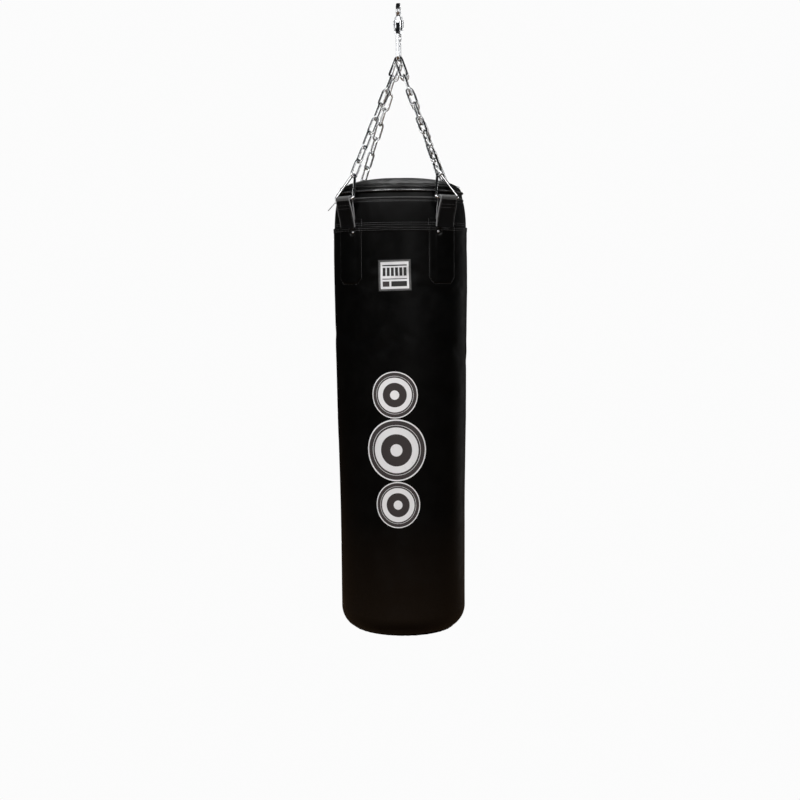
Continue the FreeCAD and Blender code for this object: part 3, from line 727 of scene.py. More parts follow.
# The shell's leather carries the painted floor reflection, brown towards its bottom.
SHELL_LEATHER = leather("shell_leather_black", 0.0006, 0.0013, 0.40, painted_floor_sheen=True)
COLLAR_LEATHER = leather("collar_leather_black", 0.0007, 0.0015, 0.50, shine=0.10)
LID_LEATHER = leather("lid_leather_black", 0.0014, 0.003, 0.36)
STRAP_LEATHER = leather("strap_leather_black", (0.003, 0.003, 0.0032), (0.007, 0.007, 0.0073), 0.36, 0.8)
PIPING_LEATHER = leather("piping_leather_glossy", (0.02, 0.02, 0.021), (0.035, 0.035, 0.036), 0.24, 0.35,
                         shine=0.8)
STRAP_EDGE = woven("strap_cut_edge", 0.05, (0.24, 0.24, 0.245), 1.6 * MM)
STRAP_FOLD = woven("strap_fold_webbing", 0.012, 0.05, 2.2 * MM)
DARK_THREAD = spun_thread("thread_dark", (0.02, 0.02, 0.021), (0.075, 0.075, 0.078))
GREY_THREAD = spun_thread("thread_grey", (0.10, 0.10, 0.105), (0.26, 0.26, 0.27))
ZIP_TAPE = woven("zip_tape_weave", 0.008, 0.03, 1.2 * MM)
ZIP_COIL = moulded("zip_coil_plastic", (0.008, 0.008, 0.009), (0.016, 0.016, 0.018), 0.42)
PULL_PLASTIC = moulded("pull_tab_plastic", (0.42, 0.42, 0.43), (0.30, 0.30, 0.31), 0.42)
SLIDER_METAL = plated("zip_slider_nickel", (0.45, 0.45, 0.46), (0.16, 0.15, 0.14), 0.26)
CHAIN_METAL = plated("chain_bright_zinc", (0.88, 0.89, 0.90), (0.34, 0.34, 0.35), 0.07)
RING_METAL = plated("ring_bright_chrome", (0.93, 0.93, 0.94), 0.42, 0.06)
HOOK_METAL = plated("hook_bright_zinc", (0.80, 0.81, 0.83), 0.34, 0.14)
BEARING_METAL = plated("bearing_ground_steel", (0.56, 0.57, 0.58), (0.20, 0.19, 0.18), 0.20)
RIVET_METAL = plated("rivet_nickel", (0.50, 0.50, 0.51), 0.28, 0.22)
INK_WHITE = printed("ink_white", (0.88, 0.88, 0.89), (0.60, 0.60, 0.61))
INK_GREY = printed("ink_warm_grey", (0.045, 0.038, 0.038), (0.03, 0.026, 0.026))
INK_BLACK = printed("ink_black", 0.012, 0.02)
LABEL_CLOTH = woven("label_cloth_grey", (0.55, 0.55, 0.56), (0.86, 0.86, 0.87), 0.9 * MM)
LABEL_BORDER = woven("label_border_dark", 0.02, 0.07, 1.1 * MM)
FOAM = foam_look("foam_cream", (0.78, 0.75, 0.68), (0.58, 0.55, 0.48))
RAGS = rag_look("packed_rags")


# ---- leather skins

def corner_profile(start, end, radius, steps):
    """Radii and heights along the bottom corner's round, angles down from the horizontal."""
    angle = np.radians(np.linspace(start, end, steps))
    r = LOWER_R - CORNER_R + radius * np.cos(angle)
    return r, BOTTOM_H + CORNER_R - radius * np.sin(angle)


def corner_shift(azimuth, angle):
    """Outward and upward shift of the simulated skin round the bottom corner."""
    if "corner" not in drapes:
        return np.zeros_like(azimuth + angle), np.zeros_like(azimuth + angle)
    return drapes["corner"].at(azimuth, angle / 90 * (CORNER_ROWS - 1))


def build_shell():
    azimuth = all_round()[None, :]
    corner_h = BOTTOM_H + CORNER_R
    h = np.concatenate([np.arange(SHELL_TOP_H, -0.135, -1.0 * MM), np.arange(-0.135, -0.27, -2 * MM),
                        np.arange(-0.27, corner_h, -6 * MM), [corner_h]])
    radii = leather_r(azimuth, h[:, None])
    heights = np.repeat(h[:, None], ROUND_STEPS, 1)
    r_round, h_round = corner_profile(3, BOTTOM_SEAM_ANGLE, CORNER_R, 30)
    share = np.linspace(0, 1, 30)[:, None]
    gather = pucker(azimuth, GATHER) * share ** 2
    edge = leather_r(azimuth, np.array([[corner_h]])) - LOWER_R
    out, up = corner_shift(azimuth, np.linspace(3, BOTTOM_SEAM_ANGLE, 30)[:, None])
    r_rows = r_round[:, None] + edge * (1 - share) + gather - 1.5 * MM * share ** 6 + out * share
    h_rows = h_round[:, None] - gather * 0.7 + up * share
    inner_r, inner_h = corner_profile(BOTTOM_SEAM_ANGLE, 0, CORNER_R - SKIN, 8)
    inside_h = np.linspace(corner_h, SHELL_TOP_H, 120)[1:, None]
    back_r = np.vstack([inner_r[:, None] + np.minimum(edge, 0), leather_r(azimuth, inside_h) - SKIN])
    back_h = np.vstack([inner_h[:, None], inside_h]) + 0 * azimuth
    shell = round_skin("shell_leather", np.vstack([radii, r_rows, back_r]),
                       np.vstack([heights, h_rows, back_h]), SHELL_LEATHER)
    assign(shell, "outer_shell")


def build_bottom():
    """Round bottom panel, gathered at its edge and slightly slack in the middle."""
    azimuth = all_round()[None, :]
    r_round, h_round = corner_profile(BOTTOM_SEAM_ANGLE + 1, 90, CORNER_R, 16)
    share = np.linspace(1, 0, 16)[:, None]
    gather = pucker(azimuth, GATHER) * share ** 2
    lip = 1.6 * MM * hump(share, 1.0, 0.12) * (0.6 + 0.4 * np.sin(2 * azimuth + 0.2))
    out, up = corner_shift(azimuth, np.linspace(BOTTOM_SEAM_ANGLE + 1, 90, 16)[:, None])
    r_rows = r_round[:, None] + gather + lip + out * share
    h_rows = h_round[:, None] - gather * 0.7 - lip + np.maximum(up, 0) * share
    flat_r = np.linspace(LOWER_R - CORNER_R, 2 * MM, 40)[1:, None]
    sag = 0.5 * MM * np.sin(flat_r * 90) * np.sin(5 * azimuth) * (flat_r / LOWER_R)
    flat_h = BOTTOM_H + 0.3 * MM + np.abs(sag)
    inner = np.array([2 * MM, 0.06, 0.10, LOWER_R - CORNER_R])[:, None] + 0 * azimuth
    inner_h = np.full_like(inner, BOTTOM_H + 3 * MM)
    up_r, up_h = corner_profile(90, BOTTOM_SEAM_ANGLE + 1, CORNER_R - 3 * MM, 6)
    rows_r = np.vstack([inner, up_r[:, None] + 0 * azimuth, r_rows, flat_r + 0 * azimuth])
    rows_h = np.vstack([inner_h, up_h[:, None] + 0 * azimuth, h_rows, flat_h])
    panel = round_skin("bottom_leather", rows_r, rows_h, SHELL_LEATHER, closed=False)
    assign(panel, "bottom_panel")


def build_collar():
    azimuth = all_round()[None, :]
    h = np.linspace(ZIP_LOW_H, SHELL_TOP_H - 6 * MM, 78)[:, None]
    outer = collar_r(azimuth, h)
    inside_h = np.linspace(SHELL_TOP_H - 6 * MM, ZIP_LOW_H, 10)[:, None]
    inner = collar_r(azimuth, inside_h) - 2.2 * MM
    collar = round_skin("collar_leather", np.vstack([outer, inner]),
                        np.vstack([h + 0 * azimuth, inside_h + 0 * azimuth]), COLLAR_LEATHER)
    assign(collar, "collar_band")


def lid_outline():
    """Radius and height down the lid's outside, from the crown to the zip."""
    r = [2, 40, 80, 108, 126, 139, 148, 153.5, 156.5, 158.2, 160.2, 161.2, 162.6, 163.4, 164.2, 165.0]
    h = [8, 7.3, 5.4, 3.0, 0.4, -3.2, -7.4, -11.2, -14.6, -17.6, -21.6, -25.0, -30.0, -34.0, -38.5, -43.2]
    return np.array(r) * MM, np.array(h) * MM


def build_lid():
    azimuth = all_round()[None, :]
    r_key, h_key = lid_outline()
    run = np.concatenate([[0], np.cumsum(np.hypot(np.diff(r_key), np.diff(h_key)))])
    fine = np.concatenate([np.linspace(0, run[4], 40), np.linspace(run[4], run[-1], 90)[1:]])
    r = np.interp(fine, run, r_key)[:, None]
    h = np.interp(fine, run, h_key)[:, None]
    for _ in range(3):
        r[1:-1] = (r[:-2] + 2 * r[1:-1] + r[2:]) / 4
        h[1:-1] = (h[:-2] + 2 * h[1:-1] + h[2:]) / 4
    on_side = smooth_step(r, 0.146, 0.154)
    groove = sum(hump(h, level, 1.5 * MM) for level in (-11.5 * MM, -20.5 * MM)) * 1.5 * MM * on_side
    bulge = hump(h, -16 * MM, 3 * MM) * 0.8 * MM * on_side
    crumple = sum(np.sin(n * azimuth + p) * np.sin(r * f + p)
                  for n, f, p in ((3, 55, 0.4), (5, 38, 2.1), (8, 71, 4.4), (13, 90, 1.3))) * 0.45 * MM
    crumple = crumple * smooth_step(r, 0.01, 0.06) * (1 - smooth_step(r, 0.12, 0.15))
    wave = 0.25 * MM * np.sin(17 * azimuth + 60 * h) * on_side
    if "lid" in drapes:
        row = np.interp(fine, run, np.arange(len(run)))[:, None]
        out, crumple = drapes["lid"].at(azimuth, row)
        wave = out * smooth_step(r, 0.0, 0.05)
    outer_r = r - groove + bulge + wave
    outer_h = h + crumple
    inner_r = np.linspace(r[-1, 0] - 3 * MM, 2 * MM, 14)[:, None]
    inner_h = np.interp(inner_r, r[:, 0], h[:, 0]) - 3 * MM
    inner_h[0] = h[-1, 0]
    lid = round_skin("lid_leather", np.vstack([outer_r, inner_r + 0 * azimuth]),
                     np.vstack([outer_h, inner_h + 0 * azimuth]), LID_LEATHER, closed=False)
    assign(lid, "lid_cover")


def round_cord(name, r, h, wire_r, material, wobble=0.0, sides=14):
    """Cord laid round the bag, with a little unevenness."""
    azimuth = all_round()[None, :]
    turn = all_round(sides)[:, None]
    thick = wire_r * (1 + wobble * np.sin(31 * azimuth) * np.sin(47 * azimuth + 1))
    return round_skin(name, r + thick * np.cos(turn) + wobble * wire_r * np.sin(11 * azimuth),
                      h - thick * np.sin(turn) + 0 * azimuth, material)


def build_piping():
    cord = round_cord("lid_piping_cord", 164.4 * MM, -27.2 * MM, 2.5 * MM, PIPING_LEATHER, 0.05)
    assign(cord, "lid_piping")
    for name, r, h in (("lid_bead_upper", 156.4, -11.6), ("lid_bead_lower", 160.0, -20.6)):
        bead = round_cord(name, r * MM, h * MM, 0.8 * MM, LID_LEATHER, 0.1, 8)
        assign(bead)


def build_zip():
    """Two woven tapes with interlocked coil teeth between them."""
    azimuth = all_round()[None, :]
    middle = (ZIP_TOP_H + ZIP_LOW_H) / 2
    edges = [(3.0, ZIP_TOP_H, 2.5), (1.0, ZIP_TOP_H, 0), (0.6, middle, 0.5), (0.6, middle, -0.5),
             (1.0, ZIP_LOW_H, 0), (3.0, ZIP_LOW_H, -2.5), (3.4, ZIP_LOW_H, -2.5), (3.4, ZIP_TOP_H, 2.5)]
    radii = np.array([[ZIP_R - inwards * MM] for inwards, _, _ in edges]) + 0 * azimuth
    heights = np.array([[h + up * MM] for _, h, up in edges]) + 0 * azimuth
    tape = round_skin("zip_tapes", radii, heights, ZIP_TAPE)
    assign(tape, "zip_teeth")
    count = int(2 * math.pi * ZIP_R / TOOTH_PITCH)
    along = np.linspace(-1.7, 1.7, 5) * MM
    bulge = np.array([0.0, 0.55, 0.75, 0.55, 0.0]) * MM
    points = []
    faces = []
    for i in range(count):
        a = 2 * math.pi * i / count
        shift = (0.55 if i % 2 else -0.55) * MM
        for h, b in zip(along, bulge):
            for t in all_round(5):
                r = ZIP_R - TOOTH_R + b + TOOTH_R * math.cos(t)
                turn = a + TOOTH_R * math.sin(t) / ZIP_R
                points.append((r * math.sin(turn), -r * math.cos(turn), RIM + middle + h + shift))
        start = i * 25
        faces.extend([tuple(start + k for k in face) for face in grid_faces(5, 5, False, True)])
        faces.append(tuple(range(start, start + 5)))
        faces.append(tuple(range(start + 24, start + 19, -1)))
    teeth = make_mesh("zip_coil", points, faces, [ZIP_COIL])
    assign(teeth)


# ---- straps

def tangent(r, h, radius, side):
    """Where a line from (r, h) touches the circle of that radius round the ring's bar."""
    dr = r - BAR_R
    dh = h - BAR_H
    angle = math.atan2(dh, dr) + side * math.acos(radius / math.hypot(dr, dh))
    return angle, (BAR_R + radius * math.cos(angle), BAR_H + radius * math.sin(angle))


def between(start, end, count):
    """Points from just after the start up to the end."""
    return [(start[0] + (end[0] - start[0]) * t, start[1] + (end[1] - start[1]) * t)
            for t in np.linspace(0.1, 1, count)]


def strap_path():
    """Middle line of a strap: up from the hem, over the bar, and down behind itself."""
    loop = BAR_WIRE_R + 0.25 * MM + STRAP_LAYER / 2
    foot = (175.5 * MM, -113 * MM)
    tail = (174.6 * MM, -100 * MM)
    start, on = tangent(*foot, loop, 1)
    end, off = tangent(*tail, loop, -1)
    path = [(175.2 * MM, -126 * MM), (175.3 * MM, -119 * MM), foot]
    path += between(foot, on, 16)
    sweep = np.linspace(start, end + 2 * math.pi if end < start else end, 18)[1:]
    path += [(BAR_R + loop * math.cos(a), BAR_H + loop * math.sin(a)) for a in sweep]
    path += between(off, tail, 12)
    return np.array(path)


def build_strap(leg, strap_azimuth):
    """Folded strap; returns its grid of points and how many of each row lie on the outer face."""
    path = strap_path()
    direction = np.gradient(path, axis=0)
    direction /= np.linalg.norm(direction, axis=1, keepdims=True)
    number = np.arange(len(path))[:, None]
    near_bar = hump(path[:, 1:], BAR_H, 16 * MM)
    bend = smooth_step(BAR_H - path[:, 1:], 4 * MM, 60 * MM)
    across = np.concatenate([[-1, -0.99, -0.965], np.linspace(-0.93, 0.93, 25), [0.965, 0.99, 1]])
    thin = np.interp(np.abs(across), [0, 0.93, 0.965, 0.99, 1], [1, 1, 0.97, 0.86, 0.62])
    ripple = 0.35 * MM * near_bar * np.sin(across * 26 + number * 0.9) * np.sin(across * 9 + number)
    cup = 0.5 * MM * across ** 2 * bend
    u = across * STRAP_HALF_WIDTH * (1 - 0.09 * near_bar)
    layers = []
    for sign in (1, -1):
        offset = sign * STRAP_LAYER / 2 * thin + ripple - cup
        r = path[:, :1] + direction[:, 1:] * offset
        h = path[:, 1:] - direction[:, :1] * offset
        out = r * (1 - bend) + r * np.cos(u / r) * bend
        side = u * (1 - bend) + r * np.sin(u / r) * bend
        layers.append(np.stack([out, side, h], -1)[:, ::sign])
    out, side, h = np.moveaxis(np.concatenate(layers, 1), -1, 0)
    x = out * math.sin(strap_azimuth) + side * math.cos(strap_azimuth)
    y = -out * math.cos(strap_azimuth) + side * math.sin(strap_azimuth)
    points = np.stack([x, y, RIM + h], -1).reshape(-1, 3)
    rows, columns = h.shape
    faces = grid_faces(rows, columns, False, True)
    count = len(across)
    at_edge = [min(j % count, count - 1 - j % count) < 3 for j in range(columns)]
    slots = []
    for i in range(rows - 1):
        face = 2 if near_bar[i, 0] > 0.86 else 0
        slots += [1 if edge else face for edge in at_edge]
    faces += [tuple(range(columns)), tuple(reversed(range((rows - 1) * columns, rows * columns)))]
    slots += [1, 1]
    strap = make_mesh("strap_" + leg, points, faces, [STRAP_LEATHER, STRAP_EDGE, STRAP_FOLD], slots)
    assign(strap, "hanging_strap_" + leg)
    return points.reshape(rows, columns, 3), count


def build_strap_seams(leg, grid, count):
    """Stitch rows down both sides of the strap's outer face and across it under the bar."""
    outer = grid[3:19, :count]
    lines = [outer[:, 4], outer[:, count - 5], outer[9, 4:count - 4], outer[11, 4:count - 4]]
    seams = sew("strap_stitching_" + leg, [(line, outward_of(line)) for line in lines], DARK_THREAD)
    assign(seams)


def outward_of(line):
    away = line * np.array([1, 1, 0])
    return away / np.linalg.norm(away, axis=1, keepdims=True)


# ---- stitching on the leather

def box_outline(middle):
    """Corners of the sewn box below the collar seam, open at the top."""
    half = BOX_HALF_WIDTH / UPPER_R
    cut = BOX_CHAMFER / UPPER_R
    top = SHELL_TOP_H - 3 * MM
    low = STRAP_LOW_H
    return [(middle - half, top), (middle - half, low + BOX_CHAMFER), (middle - half + cut, low),
            (middle + half - cut, low), (middle + half, low + BOX_CHAMFER), (middle + half, top)]


def build_leather_seams():
    rows = [ring_run(row) for row in SEAM_ROWS]
    rows += [ring_run(row, collar_r) for row in COLLAR_ROWS + (ZIP_LOW_H - 5 * MM,)]
    for strap_azimuth in STRAP_AZIMUTHS:
        middle = box_azimuth(strap_azimuth)
        rows.append(line_run(box_outline(middle)))
        for side in (-1, 1):
            a = middle + side * BOX_HALF_WIDTH / UPPER_R
            rows.append(line_run([(a, SHELL_TOP_H + 1 * MM), (a, BOX_TOP_H)], collar_r))
    back_rows = [math.pi + across / UPPER_R for across in (4 * MM, 9 * MM)]
    rows += [line_run([(a, SHELL_TOP_H - 12 * MM), (a, BOTTOM_H + 0.06)]) for a in back_rows]
    seams = sew("leather_stitching", rows, DARK_THREAD)
    assign(seams)


# ---- label and emblem

def make_sheet(name, top, low, rows, columns, material, wrap=False):
    """Closed sheet between two grids of points. Its edge has its own points, so that it stays sharp."""
    top = top.reshape(-1, 3)
    low = low.reshape(-1, 3)
    faces = grid_faces(rows, columns, False, wrap)
    faces += [tuple(len(top) + k for k in reversed(face)) for face in faces[:]]
    grid = np.arange(len(top)).reshape(rows, columns)
    if wrap:
        edges = [grid[0, ::-1], grid[-1]]
    else:
        edges = [np.concatenate([grid[0, ::-1], grid[1:, 0], grid[-1, 1:], grid[-2:0:-1, -1]])]
    points = [top, low]
    start = 2 * len(top)
    for edge in edges:
        count = len(edge)
        points += [top[edge], low[edge]]
        for k in range(count):
            a, b = start + k, start + (k + 1) % count
            faces.append((a, b, count + b, count + a))
        start += 2 * count
    return make_mesh(name, np.vstack(points), faces, [material])


def disc_grid(inner, outer, rings, steps=96):
    turn = all_round(steps)
    r = np.linspace(inner, outer, rings)[:, None]
    return r * np.cos(turn), r * np.sin(turn)


def tilted(u, v):
    """Turns places across and up the leather by the prints' slight tilt."""
    along = math.cos(EMBLEM_TILT)
    rise = math.sin(EMBLEM_TILT)
    return u * along - v * rise, u * rise + v * along


def print_ring(name, centre_h, inner, outer, lift, material):
    """A printed ring, or a disc when inner is near 0, on the bag's front."""
    u, v = disc_grid(inner, outer, max(3, int((outer - inner) / (3 * MM)) + 2))
    shift = -(centre_h - EMBLEM_H) * math.sin(EMBLEM_TILT) / UPPER_R
    top, outward = on_surface(shift + u / UPPER_R, centre_h + v, lift + PRINT_THICKNESS)
    ring = make_sheet(name, top, top - outward * PRINT_THICKNESS, *u.shape, material, wrap=True)
    assign(ring)


def build_emblem():
    """Three strike targets, one above the other, in white and warm grey ink."""
    targets = (("upper", 142.0, 60.0), ("middle", 0.0, 80.0), ("lower", -142.0, 60.0))
    for name, offset, radius in targets:
        h = EMBLEM_H + offset * MM
        r = radius * MM
        print_ring("target_%s_field" % name, h, PRINT_HOLE, r - 1 * MM, 0.04 * MM, INK_GREY)
        for part, inner, outer in (("rim", 0.955, 1.0), ("line", 0.80, 0.815), ("band", 0.52, 0.74),
                                   ("centre", PRINT_HOLE / r, 0.2)):
            print_ring("target_%s_%s" % (name, part), h, r * inner, r * outer, 0.13 * MM, INK_WHITE)


def rect_grid(width, height, cell=3 * MM):
    columns = max(2, int(width / cell) + 1)
    rows = max(2, int(height / cell) + 1)
    across = np.linspace(-width / 2, width / 2, columns)
    return np.meshgrid(across, np.linspace(-height / 2, height / 2, rows))


def build_label():
    """Woven patch with a dark border and blank blocks where the printing was."""
    low, high = LABEL_BOX
    width = high.x - low.x
    height = high.z - low.z
    h = (low.z + high.z) / 2 - RIM

    def block(name, x, y, wide, tall, material, lift=LABEL_FACE, thickness=PRINT_THICKNESS):
        u, v = rect_grid(wide, tall)
        across, up = tilted(u + x, v + y)
        top, outward = on_surface(across / UPPER_R, h + up, lift + thickness)
        return make_sheet(name, top, top - outward * thickness, *u.shape, material)

    border = block("label_border", 0, 0, width, height, LABEL_BORDER, 0.05 * MM, 0.9 * MM)
    cloth = block("label_cloth", 0, 0, width - 11 * MM, height - 10 * MM, LABEL_CLOTH, 0.8 * MM, 0.3 * MM)
    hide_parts("label_patch")
    marks = [("line_top", 0, 25, 62, 3, INK_BLACK)]
    marks += [("block_%d" % i, (i - 2.5) * 10.6, 9, 7.4, 21, INK_BLACK) for i in range(6)]
    marks += [("line_low", 0, -9, 62, 2.2, INK_BLACK), ("square", -22, -21.5, 17, 13, INK_GREY),
              ("bar", 11, -21.5, 39, 13, INK_BLACK)]
    prints = join("label_print", [block("label_" + name, *[size * MM for size in sizes], ink)
                                  for name, *sizes, ink in marks])
    corners = []
    for sx, sy in ((-1, -1), (1, -1), (1, 1), (-1, 1), (-1, -1)):
        u, v = tilted(sx * (width / 2 - HEM_TO_THREAD), sy * (height / 2 - HEM_TO_THREAD))
        corners.append((u / UPPER_R, h + v))
    stitches = sew("label_stitching", [line_run(corners, lift=LABEL_FACE)], GREY_THREAD)
    for piece in (border, cloth, prints, stitches):
        assign(piece)


# ---- inside of the bag

def lathe_rows(profile, unevenness, waves):
    """Radii and heights of a profile turned round the axis, with shallow dents."""
    azimuth = all_round(ROUND_STEPS // 4)[None, :]
    r = np.array([[p[0]] for p in profile])
    h = np.array([[p[1]] for p in profile])
    uneven = unevenness * np.sin(waves * azimuth + 37 * h) * np.sin(3 * azimuth - 11 * h)
    return r - np.abs(uneven), h + 0 * azimuth


def build_inside():
    """Liner, filling and pads, each a little uneven within its CAD solid."""
    def size(node):
        low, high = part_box(node)
        return high.x, low.z - RIM, high.z - RIM

    inset = 0.5 * MM
    _, low, high = size("foam_liner")
    heights = np.linspace(high - inset, low + inset, 60)
    outside = [(plain_r(h) - LINER_DEPTH, h) for h in heights]
    inside = [(radius - LINER_THICKNESS, h) for radius, h in reversed(outside)]
    radii, rows = lathe_rows(outside + inside, 0.3 * MM, 5)
    liner = round_skin("foam_liner_sheet", radii, rows, FOAM)
    fillings = [(liner, "foam_liner", "foam")]
    _, low, high = size("textile_filling")
    heights = np.linspace(-0.119, low + inset, 90)
    body = [(plain_r(h) - FILLING_DEPTH, h) for h in heights[:-1]]
    neck = [(2 * MM, high - inset), (0.10, high - inset), (0.155, high - 2 * MM), (0.157, -0.117)]
    radii, rows = lathe_rows(neck + body + [(0.13, low + inset), (2 * MM, low + inset)], 1.2 * MM, 23)
    filling = round_skin("rag_filling", radii, rows, RAGS, closed=False)
    fillings.append((filling, "textile_filling", "filling"))
    for node, name in (("base_pad", "base_pad_foam"), ("lid_pad", "lid_pad_foam")):
        r, low, high = size(node)
        edge = 4 * MM
        profile = [(2 * MM, high - inset), (r - edge, high - inset), (r - 1.2 * MM, high - edge / 2),
                   (r - inset, high - edge), (r - inset, low + edge), (r - 1.2 * MM, low + edge / 2),
                   (r - edge, low + inset), (2 * MM, low + inset)]
        radii, rows = lathe_rows(profile, 0.4 * MM, 9)
        fillings.append((round_skin(name, radii, rows, FOAM, closed=False), node, "foam"))
    for piece, node, slot in fillings:
        assign(piece, node)


# ---- zip slider and pull

def bevelled(piece, width):
    modifier = piece.modifiers.new("soft_edges", "BEVEL")
    modifier.width = width
    modifier.segments = 3
    modifier.limit_method = "ANGLE"
    depsgraph = bpy.context.evaluated_depsgraph_get()
    mesh = bpy.data.meshes.new_from_object(piece.evaluated_get(depsgraph))
    piece.modifiers.clear()
    piece.data = mesh
    return piece


def moulding(name, outline, low, high, bevel, place, material):
    """Bevelled plate from an outline, in mm. place puts (a, b) and a height from low to high in space."""
    count = len(outline)
    points = [place(a * MM, b * MM, c * MM) for c in (low, high) for a, b in outline]
    faces = [tuple(reversed(range(count))), tuple(range(count, 2 * count))]
    for i in range(count):
        j = (i + 1) % count
        faces.append((i, j, count + j, count + i))
    return bevelled(make_mesh(name, points, faces, [material]), bevel * MM)


def mirrored(half):
    """An outline and its mirror image, as one run of points."""
    return half + [(-a, b) for a, b in reversed(half)]


def build_slider():
    low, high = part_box("zip_slider")
    middle_z = (low.z + high.z) / 2

    def place(across, up, out):
        return (-(ZIP_R + out), across, middle_z + up)

    def side(up, out, across):
        return place(across, up, out)

    plate = []
    for t in all_round(40):
        waist = 1 - 0.28 * math.sin(t) ** 2 * (1 if math.sin(t) < 0 else 0.2)
        plate.append((3.9 * math.cos(t) * waist, 5.2 * math.sin(t)))
    neck = [(-1.0, 2), (1.0, 2), (1.0, 4.6), (-1.0, 4.6)]
    arch = [(-4.2, 3.0), (-3.4, 5.6), (-1.6, 6.9), (1.6, 6.9), (3.4, 5.6), (4.2, 3.0),
            (3.1, 3.0), (2.6, 5.0), (1.3, 6.0), (-1.3, 6.0), (-2.6, 5.0), (-3.1, 3.0)]
    shapes = (("plate", plate, 1.9, 3.3, 0.4, place), ("back", plate, 0.5, 1.2, 0.2, place),
              ("neck", neck, 1.0, 2.2, 0.2, place), ("bridge", arch, -1.1, 1.1, 0.25, side))
    slider = join("zip_slider_body", [moulding("zip_slider_" + name, *shape, SLIDER_METAL)
                                      for name, *shape in shapes])
    assign(slider, "zip_slider", "zip_slider")


def build_pull():
    """Thin moulded tab with a loop through the slider's bridge, standing out from the bag's side."""
    joint = [j for j in frame["joints"] if j["name"] == "zip_pull_flip"][0]
    pivot = Vector(joint["pos_m"])
    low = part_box("zip_pull")[0]
    reach = Vector((low.x - pivot.x, 0, low.z - pivot.z)).normalized()
    face = Vector((-reach.z, 0, reach.x))

    def place(across, along, out):
        point = pivot + reach * along + face * out
        return (point.x, point.y + across, point.z)

    tip = [(3.6 * math.sin(a), 26.2 + 3.4 * math.cos(a)) for a in np.radians(np.linspace(-90, 90, 9))]
    stem = [(3.3, 17), (2.6, 12), (3.4, 8), (3.2, 5.5)]
    parts = [moulding("pull_tab", tip + mirrored(stem), -0.7, 0.7, 0.3, place, PULL_PLASTIC)]
    for y in (20, 22, 24, 26):
        rib = [(-2.4, y - 0.35), (2.4, y - 0.35), (2.4, y + 0.35), (-2.4, y + 0.35)]
        parts.append(moulding("pull_rib", rib, -1.0, 1.0, 0.15, place, PULL_PLASTIC))
    loop = [place(2.3 * MM * math.cos(t), 2.9 * MM + 3.4 * MM * math.sin(t), 0) for t in all_round(36)]
    parts.append(bent_rod("pull_loop", loop, 0.55 * MM, SLIDER_METAL))
    assign(join("zip_pull_tab", parts), "zip_pull", "zip_pull")


def bent_rod(name, centres, rod_r, material):
    """Closed round rod through a loop of points."""
    sides = 10
    centres = np.array(centres)
    ahead = np.roll(centres, -1, 0) - np.roll(centres, 1, 0)
    ahead /= np.linalg.norm(ahead, axis=1, keepdims=True)
    middle = centres.mean(0)
    out = centres - middle
    out -= ahead * (out * ahead).sum(1, keepdims=True)
    out /= np.linalg.norm(out, axis=1, keepdims=True)
    third = np.cross(ahead, out)
    turn = all_round(sides)
    points = (centres[:, None] + rod_r * (np.cos(turn)[None, :, None] * out[:, None]
                                          + np.sin(turn)[None, :, None] * third[:, None]))
    return make_mesh(name, points.reshape(-1, 3), grid_faces(len(centres), sides, True, True), [material])


# ---- metal nodes from the frame

METAL_LOOKS = {"chain_": CHAIN_METAL, "end_links": CHAIN_METAL, "triangle_ring": RING_METAL,
               "hook_": HOOK_METAL, "swivel_eye": HOOK_METAL, "swivel_nut": BEARING_METAL,
               "lower_race": BEARING_METAL, "upper_race": BEARING_METAL, "bearing_balls": BEARING_METAL,
               "gate_pin": BEARING_METAL, "gate_spring": BEARING_METAL, "strap_rivets": RIVET_METAL}


def paint_cad_metal():
    for name, node in frame["nodes"].items():
        for start, material in METAL_LOOKS.items():
            if name.startswith(start):
                node.data.materials.clear()
                node.data.materials.append(material)
                node.data.polygons.foreach_set("material_index", [0] * len(node.data.polygons))


# ---- stage, light and camera

def split_rays(tree, others, shown, target):
    """Feeds target with shown for the camera's own rays, and with others for all the rest."""
    path = tree.nodes.new("ShaderNodeLightPath")
    mix = tree.nodes.new("ShaderNodeMixShader")
    tree.links.new(path.outputs["Is Camera Ray"], mix.inputs[0])
    tree.links.new(others.outputs[0], mix.inputs[1])
    tree.links.new(shown.outputs[0], mix.inputs[2])
    tree.links.new(mix.outputs[0], tree.nodes[target].inputs["Surface"])


def build_stage():
    """Pale floor; the bag itself sees it as dark warm boards."""
    floor_z = RIM + BOTTOM_H - 0.42
    bpy.ops.mesh.primitive_plane_add(size=60, location=(0, 0, floor_z))
    floor = bpy.context.object
    floor.name = "stage_floor"
    s = Shader("stage_pale")
    pale = s.add("ShaderNodeEmission", Color=(1, 1, 1, 1), Strength=BACKDROP)
    boards = s.add("ShaderNodeBsdfDiffuse", Color=(0.10, 0.065, 0.04, 1))
    split_rays(s.tree, boards, pale, "Material Output")
    floor.data.materials.append(s.material)


def build_world():
    """White to the camera, and a dim room to everything the object reflects."""
    world = bpy.data.worlds.new("studio")
    bpy.context.scene.world = world
    world.use_nodes = True
    tree = world.node_tree
    room = tree.nodes["Background"]
    room.inputs["Color"].default_value = (0.9, 0.95, 1.0, 1)
    room.inputs["Strength"].default_value = 0.012
    white = tree.nodes.new("ShaderNodeBackground")
    white.inputs["Strength"].default_value = BACKDROP
    white.inputs["Color"].default_value = (1, 1, 1, 1)
    split_rays(tree, room, white, "World Output")


